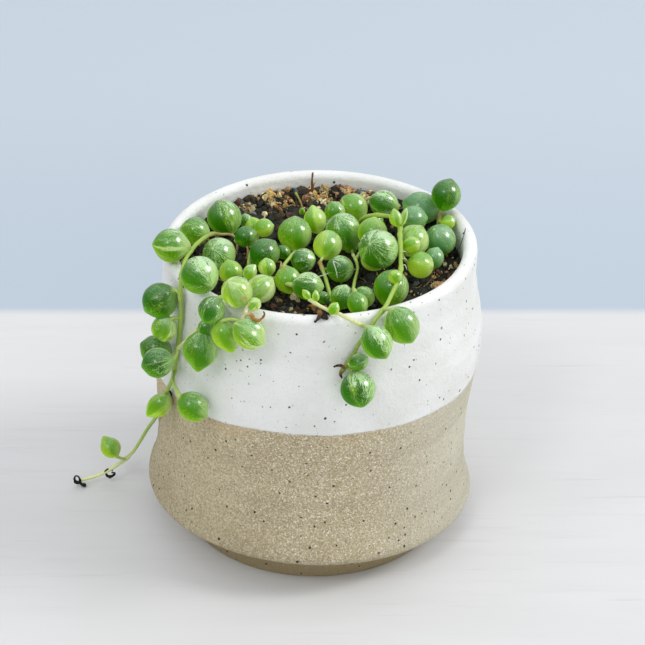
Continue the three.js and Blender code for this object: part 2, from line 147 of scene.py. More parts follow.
# %% A class for shader sums
class Link:
    """One output in a material's node tree; + - * ** and abs on it add Math nodes."""

    def __init__(self, tree, socket):
        self.tree = tree
        self.socket = socket

    def node(self, kind, settings=None, inputs=None, output=0):
        """Adds a node: its settings are set first, then its sockets' values or links; returns one output."""
        made = self.tree.nodes.new("ShaderNode" + kind)
        for key, value in (settings or {}).items():
            setattr(made, key, value)
        for key, value in (inputs or {}).items():
            if isinstance(value, Link):
                self.tree.links.new(value.socket, made.inputs[key])
            else:
                made.inputs[key].default_value = value
        return Link(self.tree, made.outputs[output])

    def math(self, operation, *values):
        """Adds a Math node."""
        return self.node("Math", {"operation": operation}, dict(enumerate(values)))

    def vector(self, operation, other, output=0):
        """Adds a Vector Math node."""
        return self.node("VectorMath", {"operation": operation}, {0: self, 1: other}, output)

    __add__ = __radd__ = lambda self, other: self.math("ADD", self, other)
    __sub__ = lambda self, other: self.math("SUBTRACT", self, other)
    __rsub__ = lambda self, other: self.math("SUBTRACT", other, self)
    __mul__ = __rmul__ = lambda self, other: self.math("MULTIPLY", self, other)
    __pow__ = lambda self, other: self.math("POWER", self, other)
    __abs__ = lambda self: self.math("ABSOLUTE", self)

    def step(self, low, high):
        """0 below low and 1 above high, smoothly; falls instead when low is above high."""
        if low > high:
            return 1 - self.step(high, low)
        smooth = {"interpolation_type": "SMOOTHSTEP"}
        return self.node("MapRange", smooth, {"Value": self, "From Min": low, "From Max": high})

    def toward(self, direction):
        """How much this vector points along a direction: their dot product."""
        return self.vector("DOT_PRODUCT", direction, "Value")

    def noise(self, scale, detail=2, roughness=0.5, distortion=0):
        """Soft cloudy values round 0.5 at this vector; a scale of three numbers stretches the clouds."""
        if isinstance(scale, tuple):
            return self.vector("MULTIPLY", scale).noise(1, detail, roughness, distortion)
        inputs = {"Vector": self, "Scale": scale, "Detail": detail, "Roughness": roughness, "Distortion": distortion}
        return self.node("TexNoise", None, inputs)

    def cells(self, scale, output="Distance"):
        """Random cells at this vector: the distance from each cell's centre, or the cell's own colour."""
        return self.node("TexVoronoi", None, {"Vector": self, "Scale": scale}, output)

    def parts(self):
        """The three numbers of a vector or colour."""
        return [self.node("SeparateXYZ", None, {0: self}, name) for name in "XYZ"]

    def read(self, name, output="Vector"):
        """An attribute of the mesh."""
        return self.node("Attribute", {"attribute_name": name}, None, output)

    def blend(self, first, second):
        """The first colour where this mask is 0 and the second where it is 1."""
        ends = (end if isinstance(end, Link) else (*end, 1) for end in (first, second))
        return self.node("Mix", {"data_type": "RGBA"}, dict(zip((0, 6, 7), (self, *ends))), 2)


def layered(colour, *layers):
    """The colour with each layer, a mask and a colour, blended over it in turn."""
    for mask, over in layers:
        colour = mask.blend(colour, over)
    return colour


def new_material(name, **constants):
    """A material with a Principled shader whose constant sockets are set, and its coordinates in millimetres."""
    material = bpy.data.materials.new(name)
    material.use_nodes = True
    nodes = material.node_tree.nodes
    for key, value in constants.items():
        nodes["Principled BSDF"].inputs[key.replace("_", " ")].default_value = value
    coordinates = nodes.new("ShaderNodeTexCoord").outputs["Object"]
    return material, Link(material.node_tree, coordinates).vector("MULTIPLY", (1 / MM,) * 3)


def feed(material, colour, roughness=None, height=None, depth=0.0002, strength=1, **others):
    """Links a colour, and if given a roughness, a bump height and others, to the shader; returns the material."""
    values = {"Base Color": colour, "Roughness": roughness, **others}
    if height:
        bump = {"Height": height, "Distance": depth, "Strength": strength}
        values["Normal"] = height.node("Bump", None, bump, "Normal")
    for key, value in values.items():
        if value:
            socket = material.node_tree.nodes["Principled BSDF"].inputs[key.replace("_", " ")]
            material.node_tree.links.new(value.socket, socket)
    return material


# %% [markdown]
# ## The pot
# The pot was thrown on a wheel: its wall stands on a recessed foot, swells at the belly, draws in at the waist
# and swells again under the lip. A turned profile gives that form, and a formula adds the faint spiral rings and
# shallow dents that wheel and fingers leave.

# %% The pot's profile
# A point of a wall is (radius, height, tilt), all in millimetres.
FOOT_RADIUS = 35.5
FOOT_HEIGHT = 5.2
FOOT_TILT = 3.5
FOOT_BEVEL = 0.7
LIP_RADIUS = 38
LIP_HALF_THICKNESS = 1.8
LIP_HEIGHT = 79.2
LEAN_LOW = -1
LEAN_LOW_FROM = 12.4
LEAN_HIGH = 1.5
OUT_OF_ROUND = 0.2
POT_COLUMNS = 288
TILT_TOWARDS = 0.93
TILT_SHIFT = 0.3
WALL_OUTSIDE = [
    (36, 5.25, 3.6), (37.2, 5.4, 3.9), (39.7, 6, 3.8), (42.2, 7.1, 3.6), (43.35, 8.9, 3.2), (42.85, 11.9, 3.3),
    (41.7, 15.6, 2.4), (41, 20.4, 0.9), (40.8, 27, -0.7), (41.05, 35, 0), (41.8, 44, 0), (42.35, 54, 0),
    (41.9, 60, 0), (40.7, 66.5, 0), (39.9, 72.5, 0), (39.8, LIP_HEIGHT, 0),
]
WALL_INSIDE = [
    (36.2, LIP_HEIGHT, 0), (36.2, 70, 0), (37.4, 58, 0), (37.2, 38, 0), (36.6, 26, 0), (37.6, 17, 0),
    (35.2, 11, 0), (30, 8, 0), (0, 6.4, 0),
]


def lean(z):
    """How far the pot's section is moved to +X at height z: quickly to LEAN_LOW, then slowly to LEAN_HIGH."""
    return LEAN_LOW * np.minimum(z / LEAN_LOW_FROM, 1) + (LEAN_HIGH - LEAN_LOW) * soft_step(20, 68, z)


def pot_profile():
    """[radius, height, tilt] from the middle of the foot, round the lip, to the middle of the floor inside.

    The foot's bevel is a quarter circle and the lip a half one; the walls are smooth lines through their points."""
    arc = lambda start, end, count: np.array([(math.cos(a), math.sin(a), 0) for a in np.linspace(start, end, count)])
    under = np.linspace(0, 1, 8)[:, None] * (FOOT_RADIUS - 2, 0, 0)
    bevel = (FOOT_RADIUS - FOOT_BEVEL, FOOT_BEVEL, 0) + FOOT_BEVEL * arc(-math.pi / 2, 0, 5)
    face = (FOOT_RADIUS, FOOT_BEVEL, 0) + np.linspace(0.15, 1, 6)[:, None] * (0, FOOT_HEIGHT - FOOT_BEVEL, FOOT_TILT)
    lip = (LIP_RADIUS, LIP_HEIGHT, 0) + LIP_HALF_THICKNESS * arc(0, math.pi, 13)[1:-1]
    return np.concatenate([under, bevel, face, smooth_line(WALL_OUTSIDE, 12), lip, smooth_line(WALL_INSIDE, 5)])


def thrown(profile):
    """The profile turned about Z.

    The radius at angle a is r + 0.2 cos 2a + rings + dents. The rings are the sine of a spiral and the dents a few
    long waves, and both fade on the foot and inside. The belly sits askew on its foot: a point sinks by its tilt
    times the cosine of its angle from the low side, and moves a little away from that side."""
    a = around(POT_COLUMNS)
    r, z, tilt = profile.T[..., None]
    row = np.arange(len(profile))[:, None]
    lip_row = np.argmax(profile[:, 1])
    wall = soft_step(8, 14, z) * soft_step(79, 74, z) * (row < lip_row)
    rings = 0.09 * np.sin(2 * math.pi * z / 6.3 + a + 0.8 * np.sin(z / 9)) * (0.6 + 0.4 * np.sin(z / 7 + 2 * a))
    dents = 0.16 * np.sin(3 * a + z / 11 + 1) * np.sin(z / 17) + 0.1 * np.sin(5 * a - z / 8)
    waves = 0.12 * np.sin(4 * a + 0.7) * soft_step(72, 79, z)
    radius = r + OUT_OF_ROUND * np.cos(2 * a) * np.minimum(r / 5, 1) + wall * (rings + dents)
    x = radius * np.cos(a) + lean(z) - tilt * TILT_SHIFT * math.cos(TILT_TOWARDS)
    y = radius * np.sin(a) - tilt * TILT_SHIFT * math.sin(TILT_TOWARDS)
    return np.stack([x, y, z + waves - tilt * np.cos(a - TILT_TOWARDS)], -1)


# %% [markdown]
# Above a line at a little over half its height the pot wears a matte white glaze. Below it the bare stoneware
# is sandy and tan, with bright grains. Iron in the clay burns through both as small black specks. All of it is
# a sum of noises in millimetres, so the grains keep their real size.

# %% The pot's glaze and clay
GLAZE_LINE = 49.3
DROOP = 0.0012


def specks(place, size, radius, share):
    """Round specks: 1 within about a radius of the centres of a share of the random cells of this size."""
    chance, near = place.cells(1 / size, "Color").parts()[0], place.cells(1 / size)
    reach = place.noise(0.9, 1).step(0.3, 0.75) * (radius / size) * 0.8 + 0.35 * radius / size
    return near.math("LESS_THAN", near, reach) * chance.math("LESS_THAN", chance, share)


def stoneware():
    """Glaze above a wandering line, and below it clay with sand, pale salt and dark grains; specks on both."""
    material, place = new_material("stoneware", Specular_IOR_Level=0.3)
    east, north, height = place.parts()
    wander = place.noise(0.06, 2) * 1.6 + place.noise(1.6, 3, 0.8) + east * east * DROOP
    glazed = (height + wander - (GLAZE_LINE + 1.25)).step(-0.15, 0.45)
    patchy, fine, sandy = place.noise(0.05, 3), place.noise(1.9, 3, 0.75), place.noise(1.55, 3, 0.75)
    salt, rings = place.noise(2.4, 2, 0.8), place.noise((0.0044, 0.0044, 0.22), 2)
    grain, round_grain = place.cells(1.5, "Color").parts()[0], place.cells(1.5).step(0.48, 0.2)
    # Partly painted glints: the pale grains are the clay's own, but this mask paints them denser a little right of the
    # middle, where the light catches them.
    sparkle_band = (east.step(36, 14) * 0.6 + 0.4) * (east.step(-32, 2) * 0.6 + 0.4)
    near_line = (height + wander).step(GLAZE_LINE - 4.5, GLAZE_LINE + 0.5) * east.step(30, 10)
    across = (east * east + north * north) ** 0.5
    glaze = place.noise(0.09, 4).step(0.35, 0.7).blend((0.82, 0.82, 0.79), (0.885, 0.89, 0.88))
    clay = layered(
        patchy.step(0.35, 0.65).blend((0.46, 0.38, 0.23), (0.52, 0.44, 0.275)),
        (sandy.step(0.5, 0.36) * 0.6, (0.3, 0.23, 0.12)),
        (sandy.step(0.51, 0.63) * 0.5, (0.8, 0.725, 0.54)),
        # Painted light: the bare clay is painted paler and greyer towards +X, the side that the main lamp lights.
        (east.step(8, 40) * 0.6, (0.7, 0.7, 0.6)),
        (salt.step(0.55, 0.63) * sparkle_band * 0.85, (0.96, 0.91, 0.78)),
        (grain.step(0.8, 0.84) * round_grain * sparkle_band * 0.75, (0.98, 0.95, 0.85)),
        (grain.step(0.13, 0.09) * round_grain * 0.5, (0.2, 0.155, 0.08)),
        (height.step(34, 10) * 0.22, (0.2, 0.17, 0.1)),
        (rings.step(0.45, 0.65) * 0.16, (0.3, 0.25, 0.15)),
        (across.step(36.9, 36.2) * 0.8, (0.32, 0.245, 0.125)),
        (near_line * patchy.step(0.3, 0.7) * 0.32, (0.66, 0.47, 0.27)),
    )
    clusters = place.noise(0.11, 1).step(0.34, 0.54)
    black = specks(place, 2.3, 0.4, 0.62) * (clusters * glazed + (1 - glazed))
    tiny = specks(place.vector("ADD", (7, 3, 5)), 1.5, 0.25, 0.4) * (0.3 + 0.7 * clusters)
    colour = layered(
        glazed.blend(clay, (fine.step(0.52, 0.68) * 0.3).blend(glaze, (0.62, 0.63, 0.6))),
        (tiny * 0.75, (0.16, 0.13, 0.1)),
        (black * 0.93, (0.025, 0.022, 0.016)),
    )
    bumps = (1 - glazed) * (sandy * 1.3 + salt * 0.8) + glazed * (1 + 0.9 * fine + 0.9 * place.noise(0.6, 2))
    return feed(material, colour, 0.88 - 0.28 * glazed, bumps, 0.00022)


make_piece("pot_thrown", [grid_part(thrown(pot_profile()))], stoneware(), ["pot"])

# %% [markdown]
# ## The soil
# The pot is filled with a dark peaty mix of crumbs, short coconut fibres and chips of bark, with more of the
# pale ones along the back and right edge. The bed is one lumpy surface. Crumbs, chips and fibres are scattered
# on it, each kind made of one small shape that is turned and stretched at random, all copies at once.

# %% The soil's bed
SOIL_TOP = 74
SOIL_FLOOR = 7.4
SOIL_RADIUS = 35.95
SOIL_ROWS = 120
SOIL_COLUMNS = 220
BANK_HEIGHT = 3


def soil_level(x, y):
    """The soil's height: a mean level with soft lumps, and a low bank against the back wall."""
    lumps = 0.14 * np.sin(x / 3.1 + 1) * np.cos(y / 3.7) + 0.08 * np.sin((x + y) / 2)
    return SOIL_TOP + lumps + BANK_HEIGHT * soft_step(30, 35, np.hypot(x, y)) * soft_step(5, 25, y)


def ripples(x, y, count, length, height):
    """A rough surface: the sum of many waves of random direction, phase and a length round the one given."""
    angle, phase, share = rng.uniform(0, 1, (3, count, 1))
    wave = 2 * math.pi / (length * (0.6 + share))
    flat = np.stack([np.ravel(x), np.ravel(y)])
    direction = np.concatenate([np.cos(TURN * angle), np.sin(TURN * angle)], 1)
    total = np.sin((direction * wave) @ flat + TURN * phase).sum(0)
    return height * np.sqrt(2 / count) * total.reshape(np.shape(x))


def soil_bed():
    """A closed plug: its top, at soil_level plus ripples of three lengths, then its side, in to the floor."""
    angle = around(SOIL_COLUMNS)
    radius = np.linspace(0, SOIL_RADIUS, SOIL_ROWS)[:, None]
    x = radius * np.cos(angle) + lean(SOIL_TOP)
    y = radius * np.sin(angle)
    rough = ripples(x, y, 14, 5, 0.28) + ripples(x, y, 20, 1.9, 0.16) + ripples(x, y, 24, 0.9, 0.07)
    top = np.stack([x, y, soil_level(x, y) + rough * soft_step(SOIL_RADIUS, SOIL_RADIUS - 1, radius)], -1)
    side = np.array([(36, 58), (36.3, 26), (37, 17), (34.8, 11.2), (29.7, 8.1), (0, SOIL_FLOOR)])
    radius, height = side[:, :1], side[:, 1:] + 0 * angle
    low = np.stack([radius * np.cos(angle) + lean(height), radius * np.sin(angle), height], -1)
    return np.concatenate([top, low])


def soil_material(name, own_colour):
    """Damp, dark and pale by turns; the loose bits carry their own colour."""
    material, place = new_material(name, Specular_IOR_Level=0.3)
    damp, fine = place.noise(0.35, 4, 0.65), place.noise(1.9, 4, 0.75)
    if own_colour:
        colour = (fine.step(0.56, 0.38) * 0.75).blend(place.read("tint", "Color"), (0.022, 0.02, 0.012))
    else:
        colour = damp.step(0.3, 0.7).blend((0.013, 0.014, 0.012), (0.04, 0.036, 0.024))
    return feed(material, colour, 0.55 + 0.4 * damp, fine + damp * 0.5, 0.0003)


make_piece("soil_bed", [grid_part(soil_bed())], soil_material("potting_mix", False), ["soil"])

# %% Crumbs, chips and fibres
BLACK_PEAT = (0.017, 0.018, 0.015)
BROWN_PEAT = (0.06, 0.042, 0.02)
RED_BARK = (0.17, 0.075, 0.04)
GOLD_COIR = (0.64, 0.42, 0.14)
PALE_COIR = (0.8, 0.68, 0.38)
GREY_GLINT = (0.13, 0.17, 0.165)
ORANGE_CHIP = (0.56, 0.31, 0.13)
FIBRE_RINGS = 8
FIBRE_SIDES = 4
TINTS = np.array([BLACK_PEAT, BROWN_PEAT, RED_BARK, ORANGE_CHIP, GOLD_COIR, PALE_COIR, GREY_GLINT])


def scattered(count, banked=False):
    """Random places on the soil, or on its bank at the back, with how pale the mix is there.

    It is pale along the back and the right edge, and a little at the front."""
    angle = rng.uniform(*((0.95, 2.95) if banked else (0, 2 * math.pi)), count)
    radius = (SOIL_RADIUS - 0.8) * np.sqrt(rng.uniform(0.78 if banked else 0, 1, count))
    x, y = radius * np.cos(angle), radius * np.sin(angle)
    back = soft_step(22, 31, y) * soft_step(34, 10, x)
    right = soft_step(22, 33, x) * soft_step(-30, -8, y) * soft_step(18, 2, y)
    front = soft_step(-18, -27, y) * soft_step(14, 2, np.abs(x + 6)) * 0.5
    x = x + lean(SOIL_TOP)
    return x, y, soil_level(x, y), np.clip(back + right + front, 0, 1)


def tints(bright, chance):
    """A tint for each piece, with weights that run from dark soil to pale soil as bright goes from 0 to 1.

    chance picks it: evenly random, or a slow wave over the soil, which gives patches of one colour."""
    dark_soil = np.array([0.53, 0.26, 0.06, 0.01, 0.03, 0.02, 0.09])
    pale_soil = np.array([0.24, 0.13, 0.09, 0.1, 0.18, 0.22, 0.04])
    weights = dark_soil + bright[:, None] * (pale_soil - dark_soil)
    pick = (chance[:, None] > np.cumsum(weights / weights.sum(1, keepdims=True), 1)).sum(1)
    colour = TINTS[np.clip(pick, 0, len(TINTS) - 1)] * rng.uniform(0.6, 1.35, (len(bright), 1))
    return np.concatenate([colour, np.ones((len(bright), 1))], 1)


def turned(shapes):
    """Small shapes, each turned by a random unit quaternion (w, u), which takes v to v + 2 u x (w v + u x v)."""
    q = rng.normal(size=(len(shapes), 1, 4))
    q /= np.linalg.norm(q, axis=-1, keepdims=True)
    w, u = q[..., :1], q[..., 1:]
    return shapes + 2 * np.cross(u, w * shapes + np.cross(u, shapes))


def copies(points, faces, tint):
    """The part for make_piece that holds many copies of one shape, each with its own tint."""
    count, each = points.shape[:2]
    all_faces = (faces[None] + each * np.arange(count)[:, None, None]).reshape(-1, faces.shape[1])
    return points.reshape(-1, 3) * MM, all_faces, {"tint": np.repeat(tint, each, 0)}


def icosahedron():
    """The twelve corners at (0, +-1, +-g) and their turns, with g the golden ratio, and the twenty faces.

    Three corners that touch are a face, turned so that it looks outward."""
    g = (1 + 5**0.5) / 2
    flat = np.array([(0, a, b * g) for a in (-1, 1) for b in (-1, 1)])
    corners = np.concatenate([np.roll(flat, turn, 1) for turn in range(3)]) / math.hypot(1, g)
    near = np.linalg.norm(corners[:, None] - corners, axis=-1) < 1.2
    triples = ((i, j, k) for i in range(12) for j in range(i) for k in range(j))
    touching = [(i, j, k) for i, j, k in triples if near[i, j] and near[j, k] and near[i, k]]
    return corners, np.array([f if np.linalg.det(corners[[*f]]) > 0 else f[::-1] for f in touching])


def crumbs(count, small, large, flatness, banked=False):
    """Crumbs: an icosahedron with its corners moved out or in, stretched, turned, and set on the soil."""
    corners, faces = icosahedron()
    x, y, z, bright = scattered(count, banked)
    size = small * (large / small) ** rng.uniform(0, 1, (count, 1, 1)) ** 1.6
    knobs = rng.uniform(0.65, 1.25, (count, 12, 1))
    stretch = rng.uniform((0.7, 0.7, flatness), (1.5, 1.1, 1), (count, 3))[:, None]
    shape = turned(corners * knobs * stretch * size)
    centre = np.stack([x, y, z + 0.3 * size[:, 0, 0] - 0.05], -1)
    chance = rng.uniform(0, 1, count)
    if banked:
        chance = np.clip(0.52 + 0.32 * np.sin(x / 1.9 + 1.3 * np.sin(y / 2.3)) + 0.6 * (chance - 0.5), 0, 0.96)
    return copies(shape + centre[:, None], faces, tints(bright, chance))


def fibres(count, length, radius):
    """Short curved fibres with a square section: each is start + direction s + bend s^2, lifted by a slow sine."""
    x, y, z, bright = scattered(count)
    keep = rng.uniform(0, 1, count) < 0.25 + 0.75 * bright
    x, y, z, bright = np.stack([x, y, z, bright])[:, keep, None]
    heading, tilt, bend = rng.uniform((0, -0.1, -0.9), (TURN, 0.45, 0.9), (len(x), 3)).T[..., None]
    long = rng.uniform(*length, (len(x), 1))
    s = np.linspace(-0.5, 0.5, FIBRE_RINGS)
    ahead, aside = long * s, long * bend * s**2
    x = x + np.cos(heading) * ahead - np.sin(heading) * aside
    y = y + np.sin(heading) * ahead + np.cos(heading) * aside
    z = z + 0.35 + long * (s * tilt * 0.6 + 0.08 * np.sin(5 * s + heading))
    turn = around(FIBRE_SIDES)
    section = [-np.sin(heading) * np.cos(turn), np.cos(heading) * np.cos(turn), np.sin(turn) + 0 * heading]
    thick = rng.uniform(*radius, (len(x), 1)) * (1 - 0.7 * (2 * np.abs(s)) ** 3)
    points = np.stack([x, y, z], -1)[:, :, None] + thick[..., None, None] * np.stack(section, -1)[:, None]
    tint = tints(np.clip(bright[:, 0] + 0.35, 0, 1), rng.uniform(0, 1, len(x)))
    return copies(points.reshape(len(x), -1, 3), grid_faces(FIBRE_RINGS, FIBRE_SIDES), tint)


bits = [crumbs(2600, 0.3, 1.2, 0.5), crumbs(260, 0.8, 1.8, 0.25), crumbs(650, 0.4, 1.5, 0.35, True)]
make_piece("soil_crumbs", bits, soil_material("soil_bits", True), smooth=False)
make_piece("soil_fibres", [fibres(520, (1.8, 6.5), (0.07, 0.17))], soil_material("coir", True))

# %% [markdown]
# ## The pearls
# Each leaf is a bead filled with water: round across, with a point at the tip and a short neck at the stalk.
# The skin is variegated: silvery and cream streaks run from base to tip, and a clear window, where light enters
# the leaf, makes a darker stripe with a pale edge. So every point of a leaf carries where it is on the leaf, and
# every leaf its own tone.

# %% Every stem and leaf
# A look is tone (0 deep green to 1 lime), silver streaks, cream, and waxy bloom, which also sets the strength of the
# painted sky sheen on the upper side. A stem is its radius, its line from the root to the tip, and the lines of its
# branches. A leaf is (its middle), width, length, (direction from base to tip), look, (direction of its window), and
# for many fold, neck, mark and taper. The window's direction is as the camera sees it: to the right, up, and towards
# it.
LOOKS = {
    "deep": (0.08, 0.12, 0, 0.05),
    "plain": (0.26, 0.28, 0, 0.08),
    "green": (0.4, 0.32, 0.05, 0.12),
    "striped": (0.42, 0.5, 0.25, 0.12),
    "bright": (0.55, 0.15, 0.05, 0.08),
    "mottled": (0.12, 0.58, 0.08, 0.12),
    "silver": (0.28, 0.75, 0.1, 0.2),
    "lime": (0.85, 0.12, 0.15, 0.1),
    "soft": (0.7, 0.05, 0.25, 0.15),
    "fresh": (0.9, 0.3, 0.25, 0.15),
    "cream": (0.82, 0.45, 0.6, 0.2),
    "milky": (0.66, 0.62, 0.45, 0.3),
    "blue": (0.16, 0.3, 0, 0.75),
}
STEMS = {
    "left_long": (0.57, [(-19.7, 2.5, 68), (-19.9, 4.5, 73), (-20.3, 8.6, 76.2), (-21.9, 8.2, 77.7),
        (-24, 6, 79), (-26, 3, 80.8), (-29.6, -7.5, 83.5), (-31.7, -15, 83.6), (-32.4, -20.6, 82.3),
        (-32.7, -23, 79.2), (-32.8, -22.7, 73.5), (-33.5, -23, 66.5), (-34.2, -23.8, 62), (-35.2, -24, 55.5),
        (-37.2, -21.6, 49), (-40.3, -14, 37.5), (-44.5, -3, 25), (-52, 6, 8.5), (-59.5, 6.5, 2.8),
        (-65.5, 5.5, 1.3)],
        [(-34.2, -23.8, 62), (-32.9, -28, 66.4), (-30.6, -31, 70.5), (-28.2, -31.8, 73.6)]),
    "left_back": (0.5, [(-16.5, -4.5, 68), (-16.5, -4.5, 75), (-16.6, -1, 76.2), (-15.8, 4, 76.3),
        (-14.8, 8, 76.3), (-15, 11, 76.2)]),
    "left_front": (0.6, [(-16.5, -10.5, 68), (-16.5, -10.5, 75), (-17, -14.5, 77.5), (-17.2, -20, 79.8),
        (-17, -26, 81.5), (-15.6, -32.5, 82.5), (-15.8, -36.5, 82.7), (-16.8, -39.8, 80.8)]),
    "centre_left": (0.5, [(-9.5, -11, 68), (-9.5, -11, 75), (-8, -8.5, 77.5), (-6, -5.5, 78.9),
        (-5.3, -1.5, 77.5)]),
    "centre": (0.55, [(4.3, -21.5, 68), (4.3, -21.5, 75), (3.6, -18, 76.6), (2.6, -12, 77.4),
        (1.4, -6.8, 78)]),
    "back": (0.5, [(2.5, 8, 68), (2.5, 8, 75), (2.6, 11, 76.2), (5, 13.5, 76.3), (9, 15.8, 76.2),
        (13, 18, 76.2), (15.5, 20, 76.3)]),
    "front_centre": (0.45, [(9.5, -19.5, 68), (9.5, -19.5, 75), (9.9, -16, 76.8), (10.9, -9, 77.4),
        (10.6, -4, 77), (9.9, -0.5, 76.6)]),
    "front_right": (0.6, [(11.3, 12.5, 68), (11.3, 12.5, 75), (11.8, 11.2, 79.8), (13.6, 9, 82.6),
        (17.3, 6, 84.5), (20, 3.5, 85.3), (21.6, 0, 85.1), (21.6, -4, 84.3), (21.6, -9, 83.3), (21.5, -14, 82.6),
        (21.3, -19.5, 82.9), (20.6, -24, 83), (19, -30, 83), (17, -36, 82.3), (15, -38.7, 81.1), (13.3, -40.1, 79),
        (11, -40.7, 75.4), (8.7, -41.1, 71), (6.5, -41.7, 67.5)],
        [(13.3, -40.1, 79), (9.5, -40.3, 81), (6.3, -38.8, 82.1), (3.6, -37.5, 82.4), (1.2, -35.8, 82.8),
        (-1.1, -33.6, 83.2)]),
    "right": (0.5, [(31.5, 10.5, 68), (31.5, 10.5, 75.5), (32.2, 11.7, 79), (32.8, 12.6, 81.8)],
        [(31.5, 10.5, 75.5), (28.6, 6, 75.9), (28, 1, 75.9), (28.8, -2.5, 76.3)]),
}
